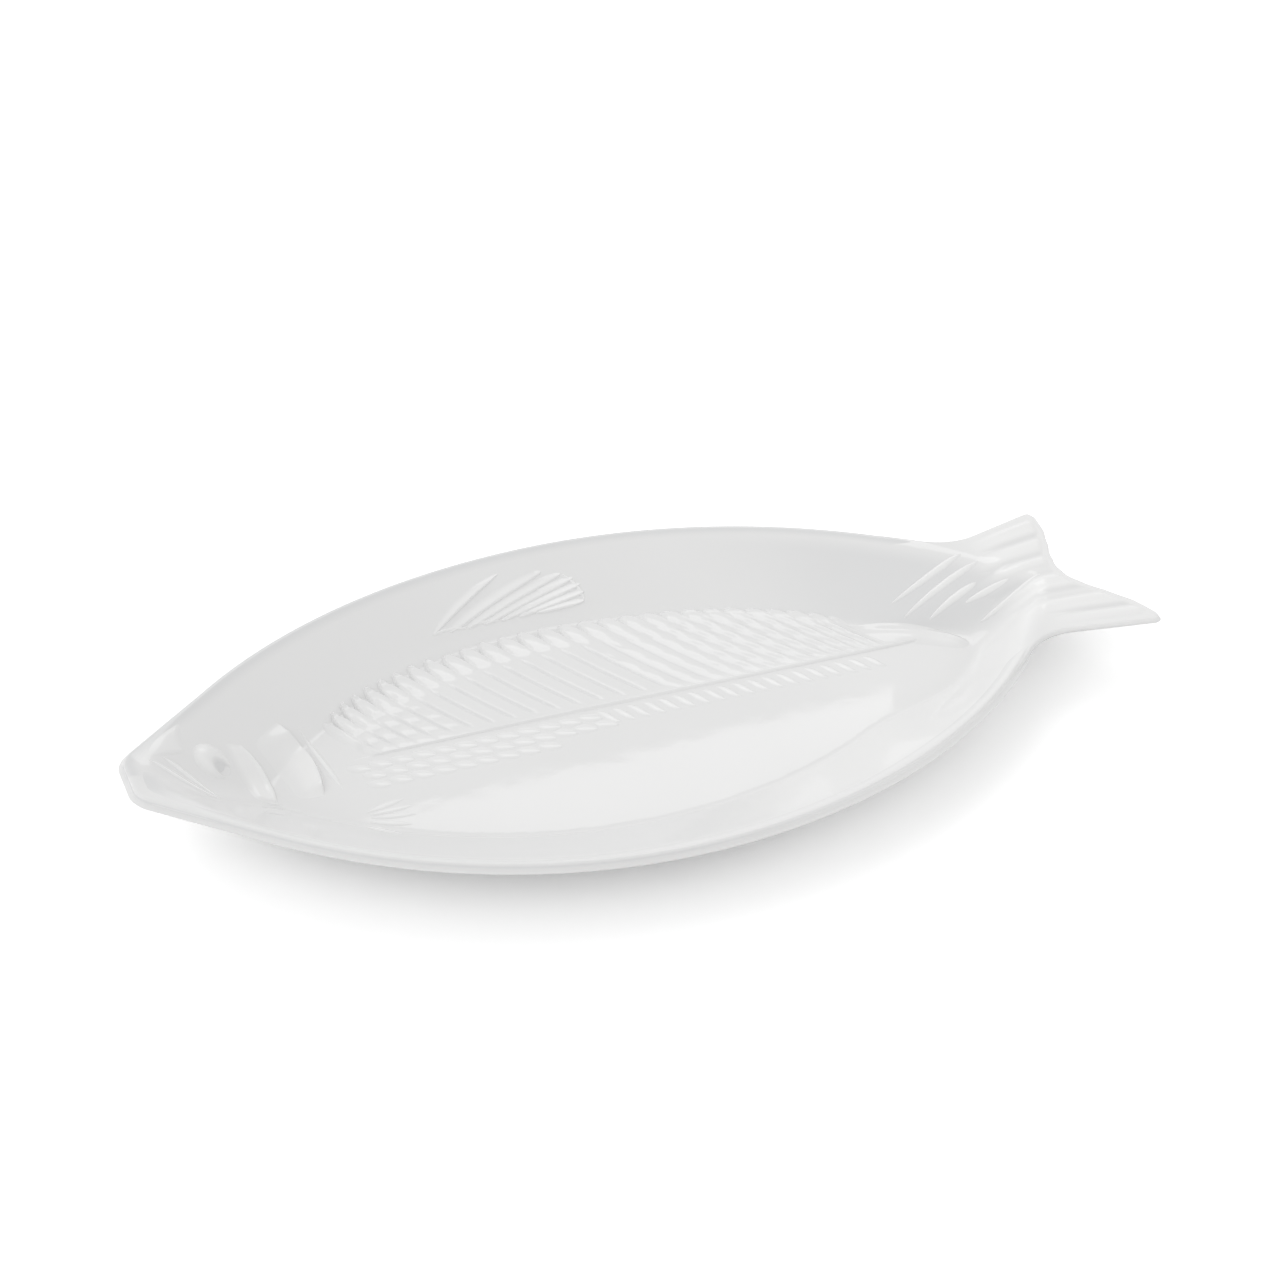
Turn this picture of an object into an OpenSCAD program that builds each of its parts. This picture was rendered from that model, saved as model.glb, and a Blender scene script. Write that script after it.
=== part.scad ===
// Fish shaped serving platter: a shallow dish with a foot, a rolled rim and a fish in low relief.
// The nose points along -X, the back of the fish along +Y, and the foot stands on Z = 0.
// Plan places are measured from the nose, along the length, and from the middle line, across it.

/* [Outline] */
// Length from the blunt nose to the longer tip of the tail
platter_l = 404; // [364:1:444]
// Width across the widest place
platter_w = 216; // [190:1:240]
// Distance from the nose to the widest place
widest_x = 189; // [170:1:205]
// Width of the blunt nose
nose_w = 26; // [18:0.5:34]
// Rounding of the nose corners
nose_round = 4; // [2:0.5:7]
// Distance from the shorter tip of the tail to the narrow neck before it
tail_l = 38; // [30:1:46]
// Width of the narrow neck
neck_w = 78; // [66:1:86]
// Radius of the hollow curve at the neck
neck_r = 26; // [18:1:34]
// Width across the tail tips
tail_w = 94; // [88:1:110]
// Distance by which the tail tip on the belly side reaches past the one on the back side
tail_skew = 4; // [0:0.5:7]
// Depth of the notch in the trailing edge, from the shorter tip
tail_notch = 13; // [6:0.5:20]
// Rounding of the tail tips
tail_round = 3; // [1:0.5:6]

/* [Bowl] */
// Depth from the rim to the floor at the widest place
well_depth = 15; // [10:0.5:22]
// Horizontal run of the sloping wall
wall_run = 40; // [32:1:48]
// Thickness of the floor
floor_t = 4.5; // [3:0.1:6]
// Thickness of the dish at its edge
edge_t = 2.6; // [2:0.1:4]
// Height of the rim at the nose above the rim at the widest place
nose_rise = 8; // [2:0.5:12]
// Height of the rim at the tail above the rim at the widest place
tail_rise = 1; // [0:0.5:6]
// Width over which the two long walls blend where they meet
valley_blend = 40; // [24:1:56]

/* [Foot and rim] */
// Height of the foot ring
foot_h = 3; // [2:0.1:5]
// Width of the foot ring
foot_w = 5; // [3:0.5:8]
// Distance from the foot of the wall in to the foot ring
foot_inset = 5; // [2:0.5:12]
// Rounding of the two ends of the foot ring
foot_round = 16; // [10:1:24]
// Width of the rolled rim
rim_w = 4.5; // [3:0.1:6]
// Height of the rolled rim above the edge of the dish
rim_h = 1; // [0.6:0.1:2]

/* [Head] */
// Gap between a relief piece and the dish under it
slip_gap = 0.15; // [0.05:0.05:0.3]
// Height of the outer edge of every relief plate
plate_edge = 0.6; // [0.3:0.1:1.2]
// Crown of the jaw plates above their edge
jaw_crown = 1.6; // [0.8:0.1:3]
// Crown of the cheek plate above its edge
cheek_crown = 1.8; // [0.8:0.1:3]
// Crown of the gill cover above its edge
gill_crown = 2.2; // [0.8:0.1:3.5]
// Width of each lip
lip_w = 2.6; // [1.6:0.1:3.2]
// Height of each lip
lip_h = 1.8; // [0.8:0.1:3]
// Diameter of the eye
eye_d = 15; // [10:0.5:16]
// Height of the eye
eye_h = 4; // [2:0.1:5.5]
// Diameter of the pupil hollow
pupil_d = 7; // [4:0.5:8]
// Depth of the pupil hollow
pupil_depth = 1.4; // [0.6:0.1:1.8]
// Width of the thin rib behind the gill cover
gill_rib_w = 2.8; // [1.6:0.1:3.6]
// Height of the thin rib behind the gill cover
gill_rib_h = 1.6; // [0.8:0.1:3]
// Width of each throat fold
fold_w = 2; // [1:0.1:2.4]
// Height of each throat fold
fold_h = 0.9; // [0.4:0.1:1.6]

/* [Body] */
// Number of leaning ribs along the back
rib_count = 29; // [18:1:30]
// Height of the ribs
rib_h = 1.7; // [0.8:0.1:2.8]
// Width of the groove between two ribs
rib_groove = 1.3; // [0.8:0.1:1.8]
// Gap between the ribs and the lateral line
rib_clear = 1.2; // [0.6:0.1:2.5]
// Width of the lateral line
line_w = 2.6; // [1.6:0.1:4]
// Height of the lateral line
line_h = 1.3; // [0.6:0.1:2.5]
// Distance from one belly scale to the next along a row
scale_pitch = 8.3; // [7:0.1:11]
// Distance from one row of belly scales to the next
scale_row = 7; // [6:0.1:9]
// Length of a belly scale
scale_l = 8.6; // [5:0.1:9]
// Width of a belly scale
scale_w = 3.6; // [2:0.1:4.2]
// Height of a belly scale
scale_h = 1.1; // [0.5:0.1:2]

/* [Fins] */
// Number of rays in the dorsal fin
fin_rays = 7; // [4:1:7]
// Width of a dorsal fin ray
fin_ray_w = 2.3; // [1.6:0.1:2.5]
// Height of a dorsal fin ray
fin_ray_h = 1.5; // [0.8:0.1:2.5]
// Number of rays in the pelvic fin
pelvic_rays = 5; // [3:1:6]
// Width of a pelvic fin ray
pelvic_ray_w = 3; // [1.5:0.1:3.6]
// Height of a pelvic fin ray
pelvic_ray_h = 1.2; // [0.6:0.1:2]
// Number of rays across the tail blade
tail_rays_n = 11; // [7:1:13]
// Width of a tail ray
tail_ray_w = 4.2; // [2:0.1:5]
// Height of a tail ray
tail_ray_h = 1.1; // [0.5:0.1:2]
// Distance from the end of a tail ray to the trailing edge
tail_margin = 3; // [1.5:0.5:6]
// Width of the ridge at the tail root
root_w = 6.5; // [4:0.1:9]
// Height of the ridge at the tail root
root_h = 2; // [1:0.1:3]

/* [Hidden] */

glaze = [0.95, 0.95, 0.94];
bare_clay = [0.90, 0.87, 0.82];

// Derived sizes of the outline
half_max = platter_w / 2;
body_l = platter_l - tail_skew;
neck_x = body_l - tail_l;
head_r = (widest_x * widest_x + half_max * half_max) / platter_w;
neck_run = neck_x - widest_x;
neck_fall = neck_w / 2 + neck_r - half_max;
tail_r = (neck_run * neck_run + neck_fall * neck_fall - neck_r * neck_r) / (2 * (neck_r - neck_fall));
neck_join_x = widest_x + neck_run * tail_r / (tail_r + neck_r);
floor_z = foot_h + floor_t;

// Shares that shape the nose, the tail, the wall and the relief sections
nose_flat_share = 0.6;
tip_share = 0.93;
lip_share = 0.2;
cove_share = 0.2;
end_share = 0.4;
eye_ring_shares = [1, 0.9, 0.75, 0.55, 0.35, 0.15];
ridge_shares = [[0.5, 0], [0.36, 0.7], [0, 1], [-0.36, 0.7], [-0.5, 0]];
rim_shares = [[0, 0.5], [0.2, 1], [0.6, 0.9], [0.88, 0.2]];

// Counts of the dish grid and of the relief pieces
stations = 60;
rows = 40;
rim_last = 54;
rim_taper_steps = 4;
plate_steps = 8;
eye_sides = 24;
ridge_steps = 6;
arc_sides = 160;

// Places as shares of the length to the shorter tail tip and of the half width there
lip_upper_shares = [[0.034, 0.39], [0.054, -0.01], [0.077, -0.49]];
lip_lower_shares = [[0.029, 0.21], [0.048, -0.26], [0.070, -0.60]];
jaw_upper_lip_shares = [[0.026, 0.68], [0.044, 0.31], [0.061, -0.10]];
jaw_upper_brow_shares = [[0.047, 0.66], [0.062, 0.36], [0.066, -0.03]];
jaw_lower_lip_shares = [[0.021, 0.08], [0.039, -0.28], [0.066, -0.68]];
jaw_lower_rim_shares = [[0.030, -0.50], [0.054, -0.80], [0.092, -0.76]];
eye_share = [0.084, 0.24];
pupil_shift_shares = [0.16, -0.20];
cheek_front_shares = [[0.109, 0.44], [0.110, 0.08], [0.109, -0.21]];
cheek_rear_shares = [[0.117, 0.38], [0.132, 0.19], [0.130, -0.15]];
gill_front_shares = [[0.126, 0.40], [0.139, 0.19], [0.148, -0.12]];
gill_rear_shares = [[0.164, 0.51], [0.187, 0.21], [0.170, -0.11]];
gill_rib_shares = [[0.180, 0.46], [0.197, 0.18], [0.191, -0.12]];
fold_shares = [[0.110, 0.129, -0.27], [0.108, 0.126, -0.38], [0.105, 0.122, -0.54]];
back_shares = [[0.207, 0.45], [0.312, 0.86], [0.613, 0.77], [0.755, 0.27]];
line_shares = [[0.212, 0.11], [0.475, 0.04], [0.795, -0.07]];
scale_row_shares = [[0.215, 0.49], [0.215, 0.745], [0.225, 0.42]];
fin_base_shares = [[0.347, 0.71], [0.402, 0.70], [0.472, 0.68]];
fin_tip_shares = [[0.439, 0.89], [0.534, 0.86], [0.513, 0.69]];
pelvic_root_share = [0.198, -0.36];
pelvic_tip_shares = [[0.253, -0.26], [0.270, -0.36], [0.235, -0.52]];
root_shares = [[0.775, 0.16], [0.819, 0.07], [0.838, -0.34]];
blade_start_share = 0.885;
blade_reach_share = 0.86;
fan_start_shares = [[0.801, 0.34], [0.800, 0.20], [0.825, 0.10]];
fan_end_shares = [[0.868, 0.60], [0.874, 0.42], [0.872, 0.26]];
fan_rays = 3;

rib_lean_share = 0.45;
rib_step_share = 0.05;
rib_stop_shares = [
    [0, 0.5], [0.05, 0.85], [0.2, 1], [0.4, 1], [0.6, 1], [0.8, 1], [0.95, 0.85], [1, 0.5]
];
rib_bend = 1.3;
scale_lean_head = -25;
scale_lean_tail = -48;
pelvic_start_share = 0.34;

// Plane helpers
function mix(p, q, t) = p + (q - p) * t;
function bezier(p, t) =
    len(p) == 1 ? p[0] : bezier([for (i = [0:len(p) - 2]) mix(p[i], p[i + 1], t)], t);
function unit(v) = v / norm(v);
function left_of(v) = [-v[1], v[0]];
function square_of(v) = v * v;
function touch_point(p, centre, r, side) =
    let (d = p - centre, a = atan2(d[1], d[0]) + side * acos(r / norm(d)))
    centre + r * [cos(a), sin(a)];

// Half outline: straight flank, head arc, tail arc, hollow neck and straight flare
flank_end = touch_point([0, nose_w / 2], [widest_x, half_max - head_r], head_r, -1);
flare_start = touch_point([body_l, tail_w / 2], [neck_x, neck_w / 2 + neck_r], neck_r, -1);

function arc_r(x) = x < widest_x ? head_r : tail_r;
function arc_y(x) = half_max - arc_r(x) + sqrt(square_of(arc_r(x)) - square_of(x - widest_x));
function neck_y(x) = neck_w / 2 + neck_r - sqrt(square_of(neck_r) - square_of(x - neck_x));
function flank_y(x) = mix(nose_w / 2, flank_end[1], x / flank_end[0]);
function flare_y(x) =
    mix(flare_start[1], tail_w / 2, (x - flare_start[0]) / (body_l - flare_start[0]));
function half_w(x) =
    x < flank_end[0] ? flank_y(x) :
    x < neck_join_x ? arc_y(x) :
    x < flare_start[0] ? neck_y(x) : flare_y(x);

// Ends of the plan for a share of the half width, from -1 on the belly side to 1 on the back
function over_share(v, from) = max(abs(v) - from, 0) / (1 - from);
function rounded_end(q, r) = r * (1 - sqrt(1 - q * q));
function nose_end(v) = rounded_end(over_share(v, nose_flat_share), nose_round);
function tail_reach(v) =
    mix(-tail_notch, v < 0 ? tail_skew : 0, square_of(sin(90 * min(1, abs(v) / tip_share))));
function tail_end(v) = body_l + tail_reach(v) - rounded_end(over_share(v, tip_share), tail_round);
function row_share(j) = sin(90 * (2 * j / rows - 1));
function plan_point(s, v) = let (x = mix(nose_end(v), tail_end(v), s)) [x, v * half_w(x)];

// Bowl surface
function rim_z(x) =
    floor_z + well_depth + (x < widest_x ? nose_rise * square_of((widest_x - x) / widest_x)
                                         : tail_rise * square_of((x - widest_x) / (body_l - widest_x)));
function from_arc(p, side) =
    let (r = arc_r(p[0]))
    r - norm([p[0] - widest_x, side * p[1] + r - half_max]);
function inset(p) =
    let (a = from_arc(p, 1), b = from_arc(p, -1), h = max(valley_blend - abs(a - b), 0) / valley_blend)
    min(a, b) - h * h * valley_blend / 4;
function wall_share(p) = max(0, min(1, inset(p) / wall_run));
function wall_drop(u) =
    let (slope = 1 / (1 - lip_share / 2 - cove_share / 2))
    u < lip_share ? slope * square_of(u) / (2 * lip_share) :
    u < 1 - cove_share ? slope * (u - lip_share / 2) :
    1 - slope * square_of(1 - u) / (2 * cove_share);
function bowl_z(p) = mix(rim_z(p[0]), floor_z, wall_drop(wall_share(p)));
function under_z(p) = bowl_z(p) - mix(edge_t, floor_t, wall_share(p));

// Places on the dish
function place(share) = [share[0] * body_l, share[1] * half_w(share[0] * body_l)];
function places(shares) = [for (s = shares) place(s)];
function point_at(p, z) = [p[0] - platter_l / 2, p[1], z];
function on_dish(p, lift) = point_at(p, bowl_z(p) + slip_gap + lift);

// Faces of a slab whose top and bottom are grids of n by m cells, wound clockwise from outside
function corner(m, i, j) = i * (m + 1) + j;
function grid_faces(n, m, first, top) = [
    for (i = [0:n - 1], j = [0:m - 1])
        let (a = first + corner(m, i, j), b = a + 1, c = b + m + 1, d = a + m + 1)
        each top ? [[a, b, c], [a, c, d]] : [[a, c, b], [a, d, c]]
];
function grid_loop(n, m) = concat(
    [for (i = [0:n - 1]) corner(m, i, 0)],
    [for (j = [0:m - 1]) corner(m, n, j)],
    [for (i = [n:-1:1]) corner(m, i, m)],
    [for (j = [m:-1:1]) corner(m, 0, j)]
);
function slab_faces(n, m) =
    let (k = (n + 1) * (m + 1), loop = grid_loop(n, m), count = len(loop))
    concat(
        grid_faces(n, m, 0, true),
        grid_faces(n, m, k, false),
        [for (e = [0:count - 1])
            let (p = loop[e], q = loop[(e + 1) % count])
            each [[p, q, q + k], [p, q + k, p + k]]]
    );

// Faces of one tube of closed rings with k points each, with flat ends
function tube_faces(rings, k, first) = concat(
    [[for (i = [0:k - 1]) first + i]],
    [[for (i = [k - 1:-1:0]) first + (rings - 1) * k + i]],
    [for (r = [0:rings - 2], i = [0:k - 1])
        let (a = first + r * k + i, b = first + r * k + (i + 1) % k)
        each [[a, a + k, b + k], [a, b + k, b]]]
);

// A pillow plate between a front and a rear curve, each given as shares
function pillow(t) = 1 - pow(abs(2 * t - 1), 3);
module plate(front_shares, rear_shares, crown) {
    n = plate_steps;
    front = places(front_shares);
    rear = places(rear_shares);
    spots = [
        for (i = [0:n], j = [0:n])
            [mix(bezier(front, i / n), bezier(rear, i / n), j / n), pillow(i / n) * pillow(j / n)]
    ];
    top = [for (s = spots) on_dish(s[0], plate_edge + crown * s[1])];
    bottom = [for (s = spots) on_dish(s[0], 0)];
    polyhedron(concat(top, bottom), slab_faces(n, n));
}

// Rounded ridges: each one is a list of stations [x, y, width, height]
function swell(t) = mix(end_share, 1, sqrt(max(0, 1 - square_of(2 * t - 1))));
function ridge_along(points, w, h) = [
    for (i = [0:ridge_steps])
        let (t = i / ridge_steps, p = bezier(points, t))
        [p[0], p[1], w * swell(t), h * swell(t)]
];
function ridge_points(ridge) = [
    for (i = [0:len(ridge) - 1])
        let (
            before = ridge[max(i - 1, 0)],
            after = ridge[min(i + 1, len(ridge) - 1)],
            side = left_of(unit([after[0] - before[0], after[1] - before[1]])),
            here = [ridge[i][0], ridge[i][1]]
        )
        for (q = ridge_shares) on_dish(here + side * q[0] * ridge[i][2], q[1] * ridge[i][3])
];
module ridges(list) {
    k = len(ridge_shares);
    rings = len(list[0]);
    polyhedron(
        [for (r = list) each ridge_points(r)],
        [for (i = [0:len(list) - 1]) each tube_faces(rings, k, i * rings * k)]
    );
}

// Dish: floor, sloping wall and flat tail blade in one skin
module dish_body() {
    plan = [for (i = [0:stations], j = [0:rows]) plan_point(i / stations, row_share(j))];
    top = [for (p = plan) point_at(p, bowl_z(p))];
    bottom = [for (p = plan) point_at(p, under_z(p))];
    color(glaze) polyhedron(concat(top, bottom), slab_faces(stations, rows));
}

// Plan shape at one distance in from the two long arcs of the rim
module arc_disc(r, distance, side) {
    translate([widest_x - platter_l / 2, side * (half_max - r)])
        circle(r - distance, $fn = arc_sides);
}
module lens_half(r, distance, from_x, to_x) {
    intersection() {
        arc_disc(r, distance, 1);
        arc_disc(r, distance, -1);
        translate([from_x - platter_l / 2, -half_max])
            square([to_x - from_x, platter_w]);
    }
}
module foot_shape() {
    distance = wall_run + foot_inset;
    offset(r = foot_round, $fn = arc_sides)
        offset(delta = -foot_round)
            union() {
                lens_half(head_r, distance, 0, widest_x);
                lens_half(tail_r, distance, widest_x, platter_l);
            }
}

// Foot ring under the flat of the floor
module foot_ring() {
    color(bare_clay)
        linear_extrude(foot_h)
            difference() {
                foot_shape();
                offset(delta = -foot_w) foot_shape();
            }
}

// Rolled rim from neck to neck around the nose
rim_path = concat(
    [for (i = [rim_last:-1:1]) plan_point(i / stations, -1)],
    [for (j = [0:rows]) plan_point(0, row_share(j))],
    [for (i = [1:rim_last]) plan_point(i / stations, 1)]
);
function rim_taper(i, last) = mix(end_share, 1, min(1, min(i, last - i) / rim_taper_steps));
function rim_ring(i) =
    let (
        last = len(rim_path) - 1,
        here = rim_path[i],
        inward = -left_of(unit(rim_path[min(i + 1, last)] - rim_path[max(i - 1, 0)])),
        w = rim_w * rim_taper(i, last),
        h = rim_h * rim_taper(i, last),
        edge_z = bowl_z(here) + slip_gap
    )
    concat(
        [on_dish(here, 0)],
        [for (q = rim_shares) point_at(here + inward * w * q[0], edge_z + h * q[1])],
        [on_dish(here + inward * w, 0)]
    );
module rim_roll() {
    rings = len(rim_path);
    k = len(rim_shares) + 2;
    color(glaze)
        polyhedron([for (i = [0:rings - 1]) each rim_ring(i)], tube_faces(rings, k, 0));
}

// Head
module upper_jaw() {
    color(glaze) plate(jaw_upper_lip_shares, jaw_upper_brow_shares, jaw_crown);
}
module lower_jaw() {
    color(glaze) plate(jaw_lower_rim_shares, jaw_lower_lip_shares, jaw_crown);
}
module lips() {
    color(glaze)
        ridges([for (s = [lip_upper_shares, lip_lower_shares]) ridge_along(places(s), lip_w, lip_h)]);
}
module cheek_plate() {
    color(glaze) plate(cheek_front_shares, cheek_rear_shares, cheek_crown);
}
module gill_cover() {
    color(glaze) plate(gill_front_shares, gill_rear_shares, gill_crown);
}
module gill_rib() {
    color(glaze) ridges([ridge_along(places(gill_rib_shares), gill_rib_w, gill_rib_h)]);
}
module throat_folds() {
    color(glaze)
        ridges([for (s = fold_shares) ridge_along(places([[s[0], s[2]], [s[1], s[2]]]), fold_w, fold_h)]);
}

// Eye: a dome with a hollow for the pupil, as rings from its edge to its middle
eye_spot = place(eye_share);
pupil_spot = eye_spot + eye_d * pupil_shift_shares;
function pupil_dent(p) = pupil_depth * max(0, 1 - square_of(norm(p - pupil_spot) / (pupil_d / 2)));
function eye_lift(p, share) = mix(plate_edge, eye_h, sqrt(1 - share * share)) - pupil_dent(p);
function eye_way(i) = let (a = 360 * i / eye_sides) [cos(a), sin(a)];
function eye_point(share, i) = eye_spot + share * eye_d / 2 * eye_way(i);
module eye() {
    k = eye_sides;
    rings = len(eye_ring_shares);
    top_middle = (rings + 1) * k;
    outer = [for (i = [0:k - 1]) on_dish(eye_point(1, i), 0)];
    inner = [
        for (share = eye_ring_shares, i = [0:k - 1])
            let (p = eye_point(share, i))
            on_dish(p, eye_lift(p, share))
    ];
    middle = [on_dish(eye_spot, eye_lift(eye_spot, 0)), on_dish(eye_spot, 0)];
    walls = [
        for (r = [0:rings - 1], i = [0:k - 1])
            let (a = r * k + i, d = r * k + (i + 1) % k)
            each [[a, a + k, d + k], [a, d + k, d]]
    ];
    fans = [
        for (i = [0:k - 1])
            let (next = (i + 1) % k)
            each [[rings * k + i, top_middle, rings * k + next], [i, next, top_middle + 1]]
    ];
    color(glaze) polyhedron(concat(outer, inner, middle), concat(walls, fans));
}

// Body: ribs that lean from the line of the back down to the lateral line
back_curve = places(back_shares);
line_curve = places(line_shares);
line_table = [for (i = [0:stations]) bezier(line_curve, i / stations)];
function line_y(x) = lookup(x, line_table);
function rib_tip(i) = bezier(back_curve, i / rib_count);
function rib_foot(tip) =
    let (x = tip[0] + rib_lean_share * (tip[1] - line_y(tip[0])))
    [x, line_y(x) + line_w / 2 + rib_clear];
function rib_at(i, t) =
    let (tip = rib_tip(i), foot = rib_foot(tip))
    [mix(tip[0], foot[0], pow(t, rib_bend)), mix(tip[1], foot[1], t)];
function rib_way(i, t) =
    unit(rib_at(i, min(t + rib_step_share, 1)) - rib_at(i, max(t - rib_step_share, 0)));
function rib_room(i, t) = abs(cross(rib_at(i + 1, t) - rib_at(i, t), rib_way(i, t)));
function rib(i) = [
    for (stop = rib_stop_shares)
        let (p = rib_at(i, stop[0]))
        [p[0], p[1], stop[1] * (rib_room(i, stop[0]) - rib_groove), stop[1] * rib_h]
];
module body_ribs() {
    color(glaze) ridges([for (i = [0:rib_count - 1]) rib(i)]);
}
module lateral_line() {
    color(glaze) ridges([ridge_along(line_curve, line_w, line_h)]);
}

// Belly scales: rows of short leaning ridges under the lateral line
function scale_way(x) =
    let (lean = x < widest_x ? scale_lean_head : scale_lean_tail)
    scale_l / 2 * [cos(lean), sin(lean)];
scale_spots = [
    for (k = [0:len(scale_row_shares) - 1])
        let (row = scale_row_shares[k] * body_l)
        for (x = [row[0]:scale_pitch:row[1]]) [x, line_y(x) - (k + 1) * scale_row]
];
module belly_scales() {
    color(glaze)
        ridges([
            for (p = scale_spots)
                ridge_along([p - scale_way(p[0]), p + scale_way(p[0])], scale_w, scale_h)
        ]);
}

// Fins
fin_base = places(fin_base_shares);
fin_edge = places(fin_tip_shares);
module dorsal_fin() {
    color(glaze)
        ridges([
            for (i = [0:fin_rays - 1])
                let (t = i / (fin_rays - 1))
                ridge_along([bezier(fin_base, t), bezier(fin_edge, t)], fin_ray_w, fin_ray_h)
        ]);
}
pelvic_root = place(pelvic_root_share);
pelvic_edge = places(pelvic_tip_shares);
module pelvic_fin() {
    color(glaze)
        ridges([
            for (i = [0:pelvic_rays - 1])
                let (tip = bezier(pelvic_edge, i / (pelvic_rays - 1)))
                ridge_along([mix(pelvic_root, tip, pelvic_start_share), tip], pelvic_ray_w, pelvic_ray_h)
        ]);
}
module tail_root() {
    color(glaze) ridges([ridge_along(places(root_shares), root_w, root_h)]);
}
fan_start = places(fan_start_shares);
fan_end = places(fan_end_shares);
function blade_point(x, v) = [x, v * half_w(x)];
module tail_rays() {
    blade = [
        for (i = [0:tail_rays_n - 1])
            let (v = blade_reach_share * (2 * i / (tail_rays_n - 1) - 1))
            [blade_point(blade_start_share * body_l, v), blade_point(tail_end(v) - tail_margin, v)]
    ];
    fan = [
        for (i = [0:fan_rays - 1])
            let (t = i / (fan_rays - 1))
            [bezier(fan_start, t), bezier(fan_end, t)]
    ];
    color(glaze) ridges([for (ends = concat(blade, fan)) ridge_along(ends, tail_ray_w, tail_ray_h)]);
}

dish_body();
foot_ring();
rim_roll();
upper_jaw();
lower_jaw();
lips();
eye();
cheek_plate();
gill_cover();
gill_rib();
throat_folds();
body_ribs();
lateral_line();
belly_scales();
dorsal_fin();
pelvic_fin();
tail_root();
tail_rays();
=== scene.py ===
"""Looks of the fish shaped platter: a glazed dish with a rolled rim and a fish in low relief.

Lengths are in millimetres, and become metres only where a mesh, a lamp or the camera is made. Plan
places are measured from the nose along the length (x) and from the middle line towards the back of
the fish (y), or given as shares of the length and of the half width there.
"""

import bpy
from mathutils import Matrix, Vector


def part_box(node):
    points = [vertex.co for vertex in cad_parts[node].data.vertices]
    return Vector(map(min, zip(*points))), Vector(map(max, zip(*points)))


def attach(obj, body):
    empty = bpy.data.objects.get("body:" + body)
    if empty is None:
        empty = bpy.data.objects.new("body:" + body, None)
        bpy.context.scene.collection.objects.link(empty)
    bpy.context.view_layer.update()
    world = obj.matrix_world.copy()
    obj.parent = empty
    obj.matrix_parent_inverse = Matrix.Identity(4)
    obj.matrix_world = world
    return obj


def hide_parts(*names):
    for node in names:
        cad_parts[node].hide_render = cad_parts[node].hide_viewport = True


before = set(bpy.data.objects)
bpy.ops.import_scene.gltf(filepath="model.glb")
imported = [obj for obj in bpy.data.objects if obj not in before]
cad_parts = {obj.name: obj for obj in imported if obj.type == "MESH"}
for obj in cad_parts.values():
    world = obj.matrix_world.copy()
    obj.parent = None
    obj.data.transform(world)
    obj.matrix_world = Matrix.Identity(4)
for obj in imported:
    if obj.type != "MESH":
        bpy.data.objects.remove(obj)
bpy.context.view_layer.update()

import math
from types import SimpleNamespace

import bpy
import numpy as np
from mathutils import Vector

MM = 0.001
BODY = "root"

# Outline of the dish, as in the solids
dish_low, dish_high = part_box("dish_body")
PLATTER_L = round((dish_high.x - dish_low.x) / MM)
PLATTER_W = round((dish_high.y - dish_low.y) / MM)
FOOT_H = round((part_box("foot_ring")[1].z) / MM, 1)
WIDEST_X = 189
NOSE_W = 26
NOSE_ROUND = 4
NOSE_FLAT = 0.6
TAIL_SKEW = 4
BODY_L = PLATTER_L - TAIL_SKEW
NECK_X = BODY_L - 38
NECK_W = 78
NECK_R = 26
TAIL_W = 94
TAIL_NOTCH = 13
TAIL_ROUND = 3
TIP_SHARE = 0.93

# Bowl of the dish, as in the solids
WELL_DEPTH = 15
WALL_RUN = 40
FLOOR_T = 4.5
EDGE_T = 2.6
NOSE_RISE = 8
TAIL_RISE = 1
VALLEY_BLEND = 40
LIP = 0.2
# Finer shape of the bowl's upper face: sharper end walls, and a back wall that runs out to the fish's back
END_BLEND = 12
END_BIAS = 14
END_BIAS_X = (270, 330)
END_BIAS_RUN = 25
BACK_RUNS = (WALL_RUN, 51)
BACK_RUN_X = (130, 300)
BACK_SIDE_Y = (-6, 14)
COVE = 0.05
UNDER_COVE = 0.2
FLOOR_Z = FOOT_H + FLOOR_T

# How far the top of a relief piece sinks at its edge, and how deep its bottom sits in the dish
SINK = 0.05
BURY = 0.6
SHARP_DEGREES = 60
# Smallest share of a ridge's width and height, at its very ends
END_SWELL = 0.004
# Shares of a ridge's height between which the painted light and shade of its crest come in
CREST_SHARES = (0.1, 0.7)

HALF_MAX = PLATTER_W / 2
HEAD_R = (WIDEST_X ** 2 + HALF_MAX ** 2) / PLATTER_W
NECK_RUN = NECK_X - WIDEST_X
NECK_FALL = NECK_W / 2 + NECK_R - HALF_MAX
TAIL_R = (NECK_RUN ** 2 + NECK_FALL ** 2 - NECK_R ** 2) / (2 * (NECK_R - NECK_FALL))
NECK_JOIN_X = WIDEST_X + NECK_RUN * TAIL_R / (TAIL_R + NECK_R)


# Plane helpers

def mix(a, b, t):
    return a + (b - a) * t


def smooth(start, end, x):
    """0 before start, 1 after end, with an easy slope between."""
    t = np.clip((x - start) / (end - start), 0, 1)
    return t * t * (3 - 2 * t)


def eased(t, ease):
    """0 at both ends and 1 between: eases in up to the first share and out from the second."""
    return smooth(0, ease[0], t) * smooth(1, ease[1], t)


def bump(x, centre, width):
    """A rounded hump of height 1."""
    return np.exp(-((x - centre) / width) ** 2)


def bezier(points, t):
    """Points of a Bezier curve at the shares t, with the coordinates on the last axis."""
    t = np.asarray(t, float)[..., None]
    row = [np.asarray(p, float) for p in points]
    while len(row) > 1:
        row = [mix(a, b, t) for a, b in zip(row, row[1:])]
    return row[0]


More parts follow.
